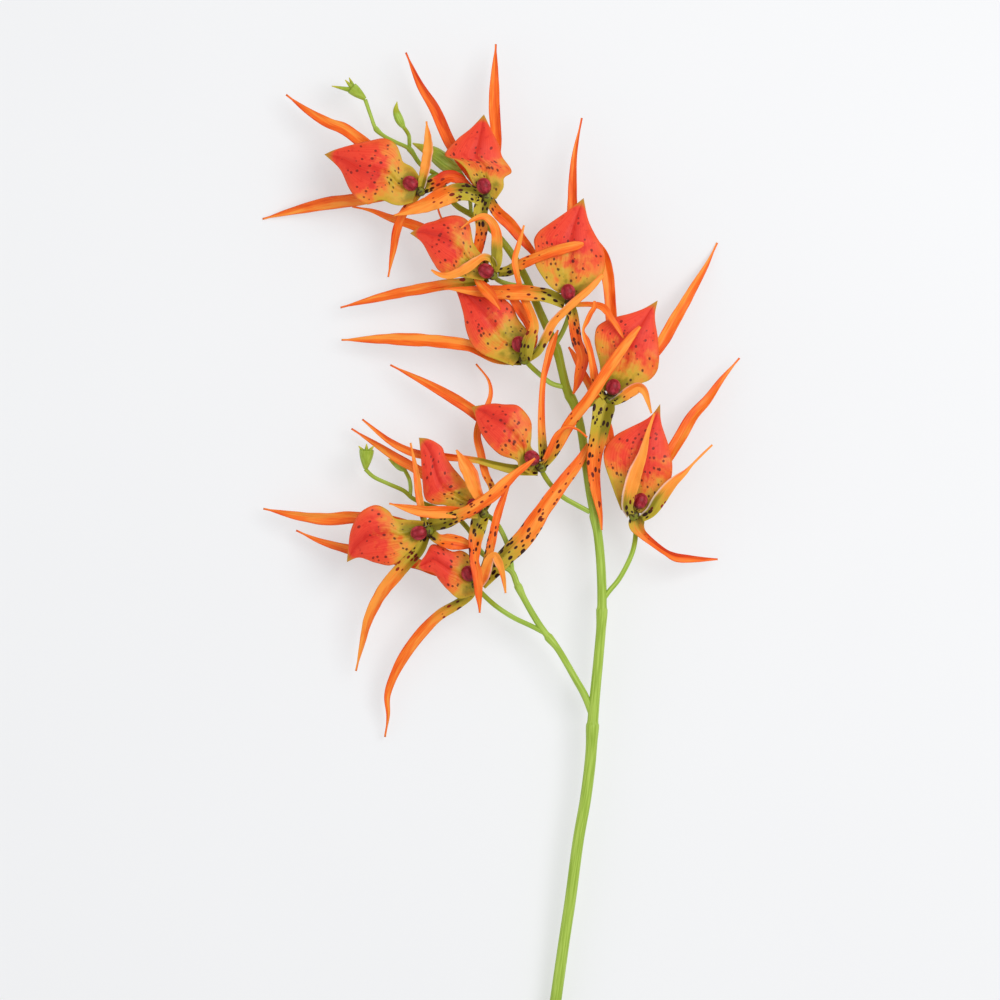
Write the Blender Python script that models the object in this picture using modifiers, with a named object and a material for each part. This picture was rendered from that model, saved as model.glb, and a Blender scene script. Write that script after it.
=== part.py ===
"""A cut, branched spray of eleven orange spider orchid blooms, lying on a flat surface.

The stem's underside rests at the origin. +X runs to the right and +Y up the spray, as seen
from straight above, and +Z is up.
"""

import math

import bmesh
import bpy
import numpy as np
from mathutils import Matrix, Vector

MM = 0.001

# Driving sizes, in millimetres
LAYOUT_STEP = 0.6
BLADE_THICKNESS = 0.8
LIP_THICKNESS = 0.9
BLADE_TIP_WIDTH = 1.1
BLADE_ROOT_SHARE = 0.55
BLADE_POINT_POWER = 1.7
BLADE_CHANNEL = 0.30
HUB_LENGTH, HUB_WIDTH, HUB_HEIGHT = 6.2, 5.4, 4.6
HUB_FLAT = 0.85
COLUMN_RADIUS, COLUMN_LENGTH, COLUMN_HEIGHT = 4.2, 5.0, 4.4
PEDICEL_RADIUS = 1.35
BUD_PEDICEL_RADIUS, BUD_TIP_RADIUS = 1.2, 0.6
CALYX_FOOT_RADIUS, PRONG_RADIUS, PRONG_TIP_RADIUS = 1.2, 1.9, 0.5
GAP = 0.3
WELD = 0.01
LIP_CROWN = 2.4
SURFACE_SLAB = (1200.0, 1600.0, 50.0)

# The layout is drawn in steps of 0.6 mm, x to the right and y down the sheet, and this spot of
# it is the origin: the flat on the underside of the stem near its cut end.
REST_X, REST_Y = 542.0, 1100.0

# How far under its seat a pedicel turns upright, and where its last straight length starts
PEDICEL_TURN, PEDICEL_END = 2.4, 0.8

# Shares: where along its cup a calyx's prongs start, how long and how high a joint is for its
# width, and where on its swelling curve a bud starts and ends, with that curve's lean
PRONG_START = 0.75
JOINT_LENGTH, JOINT_HEIGHT = 1.2, 0.95
BUD_START, BUD_END, BUD_LEAN = 0.12, 0.93, 0.8

# Faces: stations along each kind of piece, rows and columns of a lip, and an egg's own
FEWEST_STATIONS = 7
MAIN_STATIONS, SIDE_STATIONS, PEDICEL_STATIONS = 58, 28, 6
BUD_STATIONS, BUD_PEDICEL_STATIONS = 8, 5
CALYX_STATIONS, PRONG_STATIONS = 5, 4
LIP_ROWS, LIP_COLUMNS = 9, 4
EGG_SEGMENTS, EGG_RINGS = 10, 6
SHARP_DEGREES = 50

ORANGE = (0.93, 0.25, 0.03)
CRIMSON = (0.85, 0.07, 0.03)
WINE = (0.38, 0.02, 0.05)
LEAF_GREEN = (0.42, 0.58, 0.10)

# Every place below is (layout x, layout y, height in mm). A tepal is (width in mm, the share of
# its length where it is widest, route from the hub to its tip). A twisted or folded tepal has 0
# and 0 there, and its width in mm as a fourth number at each place of its route. A lip is
# (heights of its root, middle and tip, its left edge, its right edge), both edges from the hub
# to the tip.
BLOOMS = {
    "a": {
        "hub": (420, 191, 36),
        "column": (410.6, 184, 42),
        "lip": (
            (38.5, 41, 34),
            [(420, 178), (413, 168), (403, 162), (401, 156), (396, 145), (385, 139), (371, 141),
             (335, 150), (324.5, 154.6)],
            [(413, 203), (401, 206), (393, 205), (381, 200.5), (367.5, 205), (358, 200.5), (350, 190),
             (340, 169.5), (324.5, 154.6)],
        ),
        "tepals": [
            (7.8, 0.5, [(418, 189, 34), (390, 164, 30), (360, 140.5, 26), (343, 128.5, 24),
                        (329, 123, 22), (305.5, 109, 18), (285.5, 93.5, 13)]),
            (8, 0.5, [(416, 191.5, 34), (385, 195, 29), (356, 199, 24), (323, 203.2, 14),
                      (290, 210.2, 6), (261.5, 217.6, 0.3)]),
            (8.4, 0.45, [(422, 190, 37), (436, 184, 39), (451, 177, 39), (474, 187, 37)]),
            (6.6, 0.5, [(421, 188, 38), (425, 172, 41), (428.5, 149, 42), (426.6, 122, 40)]),
            (5.4, 0.4, [(419, 194, 34), (407, 208, 33), (398.5, 224, 30), (393, 250, 23),
                        (388, 276.5, 16)]),
        ],
    },
    "b": {
        "hub": (487, 197, 42),
        "column": (484, 187, 48),
        "lip": (
            (44.5, 46, 40),
            [(478, 192), (472, 182), (465, 169), (456, 161), (445, 156), (457, 140.5), (471, 129),
             (484, 115)],
            [(496, 200), (503.6, 188), (504, 179), (511.7, 172.7), (502, 157), (499.5, 147), (491, 130),
             (484, 115)],
        ),
        "tepals": [
            (7, 0.5, [(485, 195, 40), (466, 168, 35), (449.5, 141.5, 31), (434, 107.5, 25),
                      (419.8, 84, 22), (405.6, 51.5, 16)]),
            (6.8, 0.6, [(488, 195, 40), (494, 168, 35), (496, 142, 31), (494, 101, 24),
                        (495.8, 43, 15)]),
            (11.4, 0.42, [(482, 200, 43), (472, 194, 44), (460, 192.5, 45), (447, 195.8, 45),
                          (429, 204, 43), (410, 211, 41), (394, 216, 39)]),
            (0, 0, [(484, 199, 43, 8.6), (480.8, 211.7, 42.5, 8.8), (481.5, 229, 41.5, 7.4),
                    (479, 246, 38.4, 6.2), (476.5, 258, 36.8, 4.4), (475, 268, 36.3, 3.4),
                    (476, 276, 37, 3.4), (480.5, 284.5, 39.6, 5.4), (487, 291, 42.2, 7.4),
                    (494, 300, 43.8, 5), (500.5, 310, 43.5, 1)]),
            (7.6, 0.3, [(490, 200, 41), (496, 211, 38), (508.5, 222.7, 34), (520, 236.5, 31),
                        (532, 251, 29), (545, 268, 27)]),
        ],
    },
    "c": {
        "hub": (492, 275, 38),
        "column": (486, 271.4, 46),
        "lip": (
            (42.5, 41.5, 35),
            [(484, 281), (465, 278), (450, 276), (439, 271), (434, 264), (428.6, 254.5), (421.7, 242.5),
             (410, 233.5)],
            [(489, 262), (478, 251), (473.5, 243), (468, 221.5), (457, 216), (445, 217.4), (435.6, 221),
             (425, 224), (410, 233.5)],
        ),
        "tepals": [
            (7, 0.42, [(489, 273, 35), (465, 254, 32), (440, 237, 28), (414, 225, 24), (390, 217.3, 21),
                       (372, 210.3, 19), (352, 206, 17)]),
            (6.8, 0.5, [(488, 278, 35), (477, 281, 34), (445, 285, 30), (416, 290, 26), (387, 295.5, 21),
                        (362, 301.5, 17), (340, 307, 13)]),
            (0, 0, [(493, 273, 39, 3.4), (494.5, 266, 42.5, 3.6), (490.5, 259.5, 45.5, 4),
                    (484, 257.8, 47, 4.4), (476.5, 262, 47.5, 5.2), (468, 268, 47.3, 6.2),
                    (458, 273.5, 46.8, 5.6), (447, 276.3, 46, 4), (438, 274.4, 45.2, 2.6),
                    (431.5, 270.5, 44.5, 1)]),
            (6.9, 0.25, [(494, 272, 41), (496.5, 262, 44), (497, 250, 46), (496.5, 235, 48),
                         (491.5, 222.5, 50), (484, 217.3, 50.5), (472.5, 221, 50), (461, 229.5, 47)]),
            (0, 0, [(498, 273, 37, 5), (508.5, 271.2, 38.3, 6.4), (519.7, 265, 39.8, 6.8),
                    (541.7, 256, 45, 6), (563.6, 249.2, 47, 6.4), (578.3, 245.8, 46.3, 4.8),
                    (583.6, 244.4, 45.8, 1.8)]),
        ],
    },
    "d": {
        "hub": (570, 303, 40),
        "column": (568, 292.6, 46),
        "lip": (
            (42.5, 43.5, 39),
            [(558, 293), (549, 286), (540, 274), (534.5, 263), (535, 250.7), (534, 240), (538.7, 232),
             (548, 225), (567, 211.7), (583.5, 198.5)],
            [(579, 297), (585, 290), (601, 277), (605, 263), (603, 249.5), (594, 233.5), (588, 220),
             (583.5, 198.5)],
        ),
        "tepals": [
            (6.8, 0.35, [(570, 300, 37), (571.5, 250, 30), (572.5, 205, 24), (574, 160, 20),
                         (582, 117, 15)]),
            (6, 0.4, [(572, 300, 37), (580, 280, 33), (586, 258, 29), (590, 238, 26)]),
            (9.6, 0.42, [(565, 304, 40), (556, 299.5, 41.5), (544.6, 295, 42.5), (520, 292.6, 41.5),
                         (499, 292, 38.8), (474, 291, 35.8), (451.5, 289, 34.5), (443.6, 289.5, 34)]),
            (0, 0, [(571, 307, 40, 5.6), (572.5, 315, 40.5, 6.6), (575, 331.5, 39.5, 6.7),
                    (577.5, 343, 38.5, 6.8), (581, 351, 38, 6.6), (582.5, 359, 37.5, 7.6),
                    (580.8, 369, 36.5, 6.8), (579, 377, 35, 6), (576.7, 385.4, 32.5, 3.7),
                    (573.2, 394, 30, 1)]),
            (0, 0, [(574, 305, 41, 3), (590, 305, 44, 3.3), (602.5, 308, 46, 4.6),
                    (611.4, 319.5, 47, 3.8), (618.6, 330, 46.8, 2.8), (623.5, 338.7, 46.5, 1)]),
        ],
    },
    "e": {
        "hub": (524, 359, 36),
        "column": (519, 344.5, 40),
        "lip": (
            (37.5, 34, 26.5),
            [(513, 366), (499, 360.7), (484, 355), (473.6, 347), (466.7, 332), (463, 312.5), (457, 293),
             (452, 284)],
            [(531, 345), (528.5, 333), (518.5, 319.5), (512, 306), (499, 296), (478, 288.5), (452, 284)],
        ),
        "tepals": [
            (8, 0.6, [(522, 361, 33), (496, 358, 30), (469, 346, 27), (430, 341, 23), (396.5, 339, 19),
                      (341, 339.4, 11)]),
            (6.8, 0.4, [(523, 357, 33), (500, 315, 27), (480, 280, 23), (460, 245, 21), (441, 217, 20),
                        (437, 205, 20)]),
            (0, 0, [(527, 360, 37, 4), (537, 352, 41, 5.2), (545, 338, 45, 5.4), (553, 323, 48, 5.2),
                    (573.3, 303.4, 52, 4.8), (590.4, 288.6, 52, 4.2), (602.6, 275.4, 50, 2.6)]),
            (0, 0, [(527, 361, 38.5, 5), (526.5, 352, 44, 7.7), (529, 340, 47.5, 7.6),
                    (534, 328, 49.5, 5.8), (531, 315, 45.2, 5.2), (526, 303, 39, 5), (521, 292, 36.5, 4),
                    (518.5, 281.5, 40.5, 3.4), (516.5, 273, 44.3, 3.6), (514.5, 262, 45.5, 3.6),
                    (519, 244, 46, 3), (524, 226, 46, 1)]),
            (0, 0, [(526, 357, 37, 4), (532, 346, 40, 5.4), (533, 335, 41, 5.8), (528.5, 323, 39, 6),
                    (521, 311, 36.5, 6.4), (512, 298, 34.5, 4.4)]),
        ],
    },
    "f": {
        "hub": (610, 398, 38),
        "column": (613, 387.3, 44),
        "lip": (
            (40.5, 42, 37),
            [(600, 390), (599.6, 365.5), (595.6, 349), (594.4, 339), (596.7, 327.6), (603.6, 322),
             (617, 317), (629, 314), (643, 309), (657.6, 300.6)],
            [(620, 394), (640, 384), (649.5, 380), (656.4, 372), (658.7, 362), (657.6, 339),
             (654.7, 316), (657.6, 300.6)],
        ),
        "tepals": [
            (7.6, 0.42, [(613, 394, 35), (636, 370, 30), (659, 346, 25), (676.5, 317, 19),
                         (692, 290.5, 13), (708, 263, 5), (718.3, 241.5, 0.3)]),
            (0, 0, [(611, 394, 34, 5), (612, 360, 29, 6.4), (612, 330, 25, 7), (611.4, 316, 24, 7),
                    (610.4, 301, 22.5, 6.8), (607.2, 272, 20.5, 7.7), (603.5, 256, 19.3, 7),
                    (597, 243.5, 18.5, 4.4), (592.5, 236, 18, 1.2)]),
            (0, 0, [(608, 400, 39, 9), (604.5, 407, 40.5, 13), (601.5, 420, 41.5, 12),
                    (597.5, 440, 38, 10.5), (594.5, 458.6, 34.3, 9), (594.5, 480, 32.5, 7.2),
                    (597.5, 500, 30.5, 5), (600.5, 516, 29.5, 2.8), (601.8, 530, 28.5, 1)]),
            (0, 0, [(611, 403, 40, 4), (620, 398.5, 43.5, 6), (630, 391.5, 46.8, 7.3),
                    (638, 387.5, 48.5, 6.8), (643.5, 391, 48.6, 4.8), (647.5, 401.5, 48.2, 2.8),
                    (651, 413.5, 47, 1)]),
            (0, 0, [(605, 398, 39.5, 3.6), (599, 389, 42.3, 4.6), (594.2, 379, 44.6, 5),
                    (593.2, 371, 45.2, 5), (592, 363, 45.6, 4.2), (590, 353, 46.3, 3.8),
                    (586.5, 341.4, 47.2, 4), (583, 330.8, 48.2, 1.6), (586.5, 322, 49.5, 3),
                    (590.3, 314, 50.8, 3), (594.4, 307, 51.2, 2.8), (594, 301.6, 51.2, 1.4)]),
        ],
    },
    "g": {
        "hub": (541, 467, 35),
        "column": (532, 458, 40.5),
        "lip": (
            (37, 38, 31),
            [(530, 474), (519, 467.7), (516.6, 461), (500.5, 455), (488, 443.6), (480, 431),
             (477.6, 424), (471.9, 406.6)],
            [(541, 457), (531, 447), (531.5, 436.5), (531, 422), (525, 412), (517, 405.3), (504, 404.5),
             (494, 403.5), (471.9, 406.6)],
        ),
        "tepals": [
            (7.2, 0.5, [(538, 465, 33), (504, 439, 29), (471.5, 410, 25), (430, 385, 19),
                        (390, 364.5, 12)]),
            (0, 0, [(538, 471, 34, 6), (515.5, 469.5, 33, 6.2), (495, 465, 32, 4.6),
                    (477.6, 460.5, 31, 3.8), (449, 457, 30, 4.6), (418, 454, 28.5, 5),
                    (404, 449, 27, 4.8), (388, 440, 24, 3.6), (362, 419.2, 17, 1)]),
            (0, 0, [(543, 465, 37, 5.2), (551, 455, 40, 6.6), (560, 440, 42, 7), (570, 422.5, 45, 7),
                    (586, 402, 50, 6.8), (602, 378, 53, 6.8), (621, 350.5, 53, 6), (631, 337, 52, 4.6),
                    (639.5, 327, 51, 2)]),
            (3.4, 0.3, [(541, 464, 38), (546, 457, 42), (551, 445, 45.5), (558, 433, 48), (567, 427, 49),
                        (577, 429.5, 47), (587, 437.4, 43)]),
            (0, 0, [(545, 464, 37.5, 4), (543, 453, 38.5, 5.4), (541.5, 426, 38, 4.6),
                    (541.9, 394.4, 36.5, 3.6), (543.4, 378, 35, 3.6), (547.5, 361, 33.5, 4.4),
                    (552, 345, 31.5, 4.6), (558, 330, 30, 1)]),
        ],
    },
    "h": {
        "hub": (634, 515, 35),
        "column": (640, 501, 40.5),
        "lip": (
            (37, 38.5, 36),
            [(621, 510), (612, 486.6), (603.5, 458.6), (605, 447.4), (614.7, 436), (650, 416.5),
             (660, 404)],
            [(645, 514), (663, 496), (671, 478), (672, 464), (668, 444.5), (661, 422), (660, 404)],
        ),
        "tepals": [
            (7.6, 0.48, [(635, 511, 32), (652.5, 481, 28), (670, 454, 25), (680.5, 437, 23),
                         (693, 416, 20), (707.4, 400, 17), (721.5, 380, 14), (740.3, 357.6, 10)]),
            (0, 0, [(632, 511, 32, 5), (620, 475, 28, 6.4), (611, 448, 25, 6.4), (607, 427, 23, 6.2),
                    (599.5, 405, 22.4, 6), (591, 387.5, 22.2, 5.3), (584, 375, 22.3, 4.6),
                    (577, 361, 22.5, 3.6), (572.6, 352.5, 22.7, 2.6), (568.7, 346.8, 23, 1)]),
            (0, 0, [(636, 515, 33, 5.6), (636.3, 520.5, 33, 9.4), (637, 526, 32.5, 9),
                    (641.5, 533, 31, 6), (653.5, 543.5, 28.5, 4.2), (666.4, 552.5, 24.5, 4),
                    (677, 557.6, 21, 5.4), (690.5, 559, 17.5, 4.5), (706, 559.5, 13, 2.5),
                    (718.4, 559.5, 9, 1)]),
            (0, 0, [(630, 515, 39, 5), (627, 507, 44.5, 6.6), (628.6, 496, 47.2, 8.2),
                    (634, 476, 48, 8.8), (642.3, 453.4, 47.5, 5.4), (648, 431, 46, 2.6),
                    (654, 413.5, 45, 1)]),
            (0, 0, [(641.5, 518.5, 38, 4.6), (650.5, 512, 41, 6.6), (659.4, 499, 43.5, 8.2),
                    (672.6, 482.8, 45, 6.2), (685, 472, 44.5, 3), (691, 465.5, 43.6, 1.6),
                    (702, 454.5, 41, 1.4), (712, 445, 38, 1)]),
        ],
    },
    "i": {
        "hub": (428, 531, 38),
        "column": (419, 532.8, 44),
        "lip": (
            (40.5, 41, 36),
            [(420, 541), (408, 553), (392, 565), (376, 562.7), (359, 557.5), (347, 562)],
            [(424, 521), (414, 520), (394.6, 518), (389, 511), (376, 505), (360, 513), (351, 530.5),
             (348.7, 545.5), (347, 562)],
        ),
        "tepals": [
            (7.8, 0.55, [(424, 529, 34), (385, 520, 29), (353, 517, 25), (329, 519, 22),
                         (296, 515.6, 17), (262.6, 508.7, 11)]),
            (8.4, 0.3, [(426, 534, 35), (419, 549, 34), (404, 566, 32), (384.5, 589, 28),
                        (369.5, 616, 23), (362, 643.5, 18), (355.5, 671.5, 12)]),
            (0, 0, [(429, 526, 36, 7), (435, 523.6, 39, 8.8), (446, 521, 43, 9.2),
                    (457.4, 516, 46.5, 7.8), (469, 511, 48.6, 7.3), (480.4, 503.7, 49.8, 7.2),
                    (492, 496, 50.5, 7.4), (503.4, 484.8, 50.5, 7), (514.8, 474.5, 50, 5),
                    (526.3, 465.6, 49.5, 3.4), (535, 458.5, 49, 1)]),
            (4.6, 0.4, [(426, 526, 40), (423, 515, 41.5), (420, 500, 42), (416, 470, 42),
                        (410.7, 443, 40)]),
            (0, 0, [(431, 533, 37, 6), (439.5, 539.5, 39, 6.6), (449.8, 541.4, 40.5, 9.3),
                    (459, 542.7, 40, 8.6), (466, 544.5, 39, 6), (473, 547, 38, 1.4)]),
        ],
    },
    "j": {
        "hub": (483, 513, 36),
        "column": (475, 506, 41),
        "lip": (
            (38, 38.5, 37),
            [(474, 518), (460, 509), (453.5, 508), (444, 505), (435, 504.5), (426, 500), (422.5, 480),
             (421, 457), (419, 437.7)],
            [(487, 502), (474, 492), (462, 478), (452, 466), (445, 455), (442, 447), (429, 439),
             (419, 437.7)],
        ),
        "tepals": [
            (6.3, 0.5, [(480, 511, 33), (447, 490, 28), (415, 468, 24), (397, 458, 21.5),
                        (376, 444.4, 16.5), (351, 428.4, 11)]),
            (4.8, 0.4, [(485, 509, 34), (491, 498, 32), (492, 488, 30.5), (485.6, 474.6, 28.5),
                        (481, 454, 26.5), (477, 436, 24.5), (480, 420, 22.5), (487.5, 405, 21),
                        (490.8, 393, 20), (488.5, 380, 18), (476, 363.6, 14)]),
            (0, 0, [(484, 515.5, 37, 7), (480, 521, 39, 10), (476.2, 535.5, 42.5, 9),
                    (474.8, 549, 45.5, 7.4), (474.4, 560.6, 47.5, 5.8), (477, 572, 48.5, 6.2),
                    (478.2, 583.5, 48, 5.6), (478.8, 595, 47, 4.2), (479.6, 606.5, 45.5, 1.9),
                    (479.7, 612.5, 44, 1)]),
            (7.6, 0.5, [(478, 514, 41), (466, 513, 44), (453, 512, 45.5), (435, 512, 46),
                        (418, 510.5, 46), (389.5, 503.5, 44)]),
            (0, 0, [(486, 507, 40, 5), (481.5, 500, 44, 6), (477.2, 494, 46, 6.8), (474, 486, 47.8, 8.2),
                    (470.1, 474.5, 48.8, 9.4), (464.6, 464, 48.6, 7.6), (460.5, 456.8, 48, 3.8),
                    (456.4, 450, 47.2, 1)]),
        ],
    },
    "k": {
        "hub": (475, 585, 34),
        "column": (468.8, 573.5, 40),
        "lip": (
            (36, 38, 37),
            [(474, 595), (459, 598.5), (448.5, 590.5), (440, 581), (434, 573.5), (424, 570.5),
             (415, 568)],
            [(477, 573), (470, 556), (461, 550.5), (453, 551.5), (442, 546.5), (432, 544.5),
             (425, 555.5), (415, 568)],
        ),
        "tepals": [
            (7, 0.55, [(472, 583, 31), (452, 577, 28.5), (434, 570, 27), (418, 564, 25.5),
                       (382, 556.5, 21.5), (347.6, 549, 18), (319, 541, 14), (295.5, 530.5, 9.5)]),
            (7, 0.4, [(474, 588, 31), (470, 595, 30), (457, 604.5, 28), (439, 615, 26), (418.5, 636, 22),
                      (397.5, 667.5, 16.5), (387, 695.5, 12), (387.7, 716.4, 9), (384.5, 738, 5)]),
            (0, 0, [(481, 585, 35, 7), (490, 573.5, 36, 9.4), (505, 556.5, 36, 11),
                    (524.5, 537, 35, 11.6), (543, 509, 34, 10), (561.5, 484.3, 32, 8.2),
                    (580.5, 459, 30, 5.8), (588, 443.5, 29, 1.4)]),
            (0, 0, [(479, 586, 36, 4), (483.5, 577, 40, 6.6), (486.5, 567, 43, 6.8),
                    (490, 558.5, 45, 5.4), (494.5, 555, 46, 4.4), (498, 560.5, 46.2, 5.6),
                    (501, 568, 45, 4), (503.5, 578, 43, 2.9), (505.6, 593, 40, 1)]),
            (0, 0, [(477, 582, 37, 4), (483, 571, 38, 4.8), (487.5, 558, 38.5, 5.4),
                    (491.5, 541, 38.5, 5.4), (495, 524, 38.5, 5.2), (500, 507, 38, 4.6),
                    (511, 479, 37, 1)]),
        ],
    },
}

# Stems: (layout x, layout y, height in mm, radius in mm)
MAIN_STEM = [
    (541, 1116, 3.6, 4.6), (542, 1100, 3.4, 4), (545, 1080, 4.6, 3.7), (549, 1050, 8, 3.6),
    (556, 1000, 12.5, 3.5), (564.5, 940, 15.5, 3.4), (570.5, 900, 17, 3.4), (578.5, 840, 18.5, 3.4),
    (585.5, 800, 19.5, 3.4), (590.5, 760, 20, 3.4), (593, 720, 21, 3.3), (595.5, 690, 21.5, 3.1),
    (598.6, 658, 21.5, 3), (601.8, 616, 22, 2.9), (601.4, 574, 22.5, 2.8), (597.9, 534, 22.5, 2.7),
    (590, 492, 22.5, 2.6), (586, 464, 22, 2.6), (581, 429, 22, 2.6), (574.5, 405, 21.5, 2.7),
    (567.5, 391, 21.5, 2.7), (562.2, 371, 21, 2.6), (557, 350, 21, 2.6), (546, 325, 20.5, 2.5),
    (538, 307, 20.5, 2.4), (525.5, 277, 20.5, 2.3), (507, 247, 21, 2.2), (490, 228, 21.5, 2),
    (474, 216, 22, 1.9), (455, 204, 22.5, 1.7), (446, 190, 23, 1.5), (440, 177, 23, 1.4),
    (431, 171, 23, 1.4), (420, 163.5, 23, 1.4), (409, 148.5, 23, 1.3), (395, 141.5, 23, 1.2),
    (383, 135, 23, 1.2), (375.5, 128, 23, 1.2), (371, 116.5, 22.5, 1.1), (365, 99, 22, 1.2),
]
SIDE_STEM = [
    (593, 716, 21, 2.3), (585, 696, 21, 2.2), (576, 680, 21.5, 2.1), (557.5, 648.5, 22, 2),
    (547.5, 636, 22, 2), (538.5, 623.5, 22, 2), (525, 600.5, 22.5, 1.9), (517, 584, 22.5, 1.9),
    (511.5, 571.5, 22.5, 1.8), (497, 563.5, 22, 1.7), (481, 552, 21, 1.6), (471, 533, 20.5, 1.5),
    (462, 522, 20.5, 1.5), (455, 515, 20.5, 1.4), (440, 509, 20.5, 1.4), (425, 504, 20.5, 1.4),
    (412, 498, 20.5, 1.3), (404, 491, 20.5, 1.3), (387.5, 483.5, 21, 1.2), (373, 476.5, 22, 1.2),
    (365, 469, 23, 1.2),
]
# The swollen joints, on the stem and its side branch: (layout x, layout y, height, radius)
JOINTS = [
    (592, 725, 20.9, 4), (602, 610, 22.1, 3.5), (594.5, 515, 22.5, 3.3), (569.5, 394, 21.5, 3.2),
    (556, 346, 20.9, 3), (548, 636.5, 22, 2.7), (518, 586, 22.5, 2.5), (408.5, 148.5, 23, 1.8),
    (375.5, 129, 23, 1.7),
]
# Pedicels from the stem to a bloom's hub. Each ends upright under the hub.
PEDICELS = {
    "a": [(436, 174, 23), (430, 178, 23.5), (423, 185, 25.5)],
    "b": [(472, 215, 22), (480, 210, 23.5), (486, 202, 28)],
    "c": [(529, 286, 20.5), (514, 285, 22.5), (500, 281, 25)],
    "d": [(555, 345, 21), (563, 331, 22), (569, 315, 25)],
    "e": [(567, 387.5, 21.5), (552, 383.5, 22.5), (540.5, 375, 24), (529.5, 365, 26.5)],
    "f": [(577, 410, 21.5), (586, 406, 25.5), (599, 401, 28.5)],
    "g": [(590, 512, 22.5), (575, 504, 22.5), (563, 497, 23.5), (551, 485, 24.5), (543, 473, 26)],
    "h": [(602, 602, 22), (608, 593, 22), (620, 578, 22.5), (633, 551, 23), (636, 530, 25)],
    "i": [(442, 509, 20.5), (436, 518, 23), (430, 527, 27)],
    "j": [(512, 571, 22.5), (510, 555, 22.5), (506, 541, 23.5), (497, 524, 25), (487, 515, 27)],
    "k": [(549, 635.5, 22), (532, 626.5, 22), (514, 618, 22), (497, 607, 22.5), (483.5, 595, 24)],
}
# Buds: (pedicel route, bud route, the bud's greatest radius in mm)
BUDS = [
    ([(409, 149, 23), (409.3, 142, 23.5), (408.5, 134.5, 24.5), (403, 126, 25.5)],
     [(403.5, 127, 25.5), (399, 119, 26.5), (396, 110, 27), (397, 101.5, 27)], 2.6),
    ([(471, 213, 22), (470, 200, 23), (466, 182, 25), (459, 170, 26.5)],
     [(461, 171, 26.5), (448, 164.5, 28), (434, 153.5, 28), (412.5, 143, 27)], 5),
    ([(410, 495, 20.5), (410.5, 488, 19.5), (409, 479, 18), (404, 469, 16)],
     [(405, 470, 16), (398, 464, 15), (388, 459, 14.5)], 2.9),
]
# Open calyces at the two stem ends: (base, mouth, mouth radius in mm, prong tips)
CALYCES = [
    ((365, 98.5, 22), (351.5, 87.5, 22.5), 3.6, [(331.5, 85.5, 22), (345, 79.5, 24), (349, 77, 20)]),
    ((365.5, 469, 23), (366.5, 450, 24), 4.4, [(358.5, 446, 24), (366.5, 444, 27), (373.5, 446, 24)]),
]


def place(spot):
    """The point in metres of a layout spot (x, y, height in mm)."""
    x, y, height = spot[:3]
    return np.array([(x - REST_X) * LAYOUT_STEP, (REST_Y - y) * LAYOUT_STEP, height]) * MM


def smooth_route(points, count):
    """count points, evenly spaced, on a smooth curve through the given rows of numbers."""
    points = np.asarray(points, float)
    gaps = np.linalg.norm(np.diff(points[:, :3], axis=0), axis=1) ** 0.5
    knots = np.concatenate([[0.0], np.cumsum(gaps)])
    slopes = np.gradient(points, knots, axis=0)
    fine = np.linspace(0.0, knots[-1], 60 * len(points))
    span = np.clip(np.searchsorted(knots, fine, side="right") - 1, 0, len(knots) - 2)
    width = (knots[span + 1] - knots[span])[:, None]
    t = (fine - knots[span])[:, None] / width
    start, end = points[span], points[span + 1]
    curve = (
        (2 * t**3 - 3 * t**2 + 1) * start
        + (t**3 - 2 * t**2 + t) * width * slopes[span]
        + (3 * t**2 - 2 * t**3) * end
        + (t**3 - t**2) * width * slopes[span + 1]
    )
    steps = np.linalg.norm(np.diff(curve[:, :3], axis=0), axis=1)
    length = np.concatenate([[0.0], np.cumsum(steps)])
    wanted = np.linspace(0.0, length[-1], count)
    return np.column_stack([np.interp(wanted, length, part) for part in curve.T])


def material(name, colour, roughness):
    made = bpy.data.materials.new(name)
    made.use_nodes = True
    shader = made.node_tree.nodes["Principled BSDF"]
    shader.inputs["Base Color"].default_value = (*colour, 1.0)
    shader.inputs["Roughness"].default_value = roughness
    shader.inputs["Metallic"].default_value = 0.0
    made.diffuse_color = (*colour, 1.0)
    return made


def add_object(name, mesh, collection):
    made = bpy.data.objects.new(name, mesh)
    collection.objects.link(made)
    return made


def evaluated_mesh(obj):
    bpy.context.view_layer.update()
    depsgraph = bpy.context.evaluated_depsgraph_get()
    return bpy.data.meshes.new_from_object(obj.evaluated_get(depsgraph), depsgraph=depsgraph)


def sheet(name, columns, rows, surface, thickness, collection):
    """A closed blade: a grid laid on surface(along, across), split alike on both its faces."""
    bm = bmesh.new()
    bmesh.ops.create_grid(bm, x_segments=columns, y_segments=rows, size=0.5)
    for vert in bm.verts:
        vert.co = Vector(surface(vert.co.y + 0.5, 2.0 * vert.co.x))
    bmesh.ops.triangulate(bm, faces=bm.faces)
    mesh = bpy.data.meshes.new(name)
    bm.to_mesh(mesh)
    bm.free()
    made = add_object(name, mesh, collection)
    solidify = made.modifiers.new("Thickness", "SOLIDIFY")
    solidify.thickness = thickness * MM
    solidify.offset = 0.0
    solid = evaluated_mesh(made)
    made.modifiers.clear()
    made.data = solid
    return made


def tepal_width(along, width, widest):
    """Half the width in metres: narrow at the hub, widest at one share, drawn out to a point."""
    if along < widest:
        swell = math.sin(0.5 * math.pi * along / widest)
        share = BLADE_ROOT_SHARE + (1.0 - BLADE_ROOT_SHARE) * swell
    else:
        share = 1.0 - ((along - widest) / (1.0 - widest)) ** BLADE_POINT_POWER
    return 0.5 * MM * max(width * share, BLADE_TIP_WIDTH)


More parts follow.
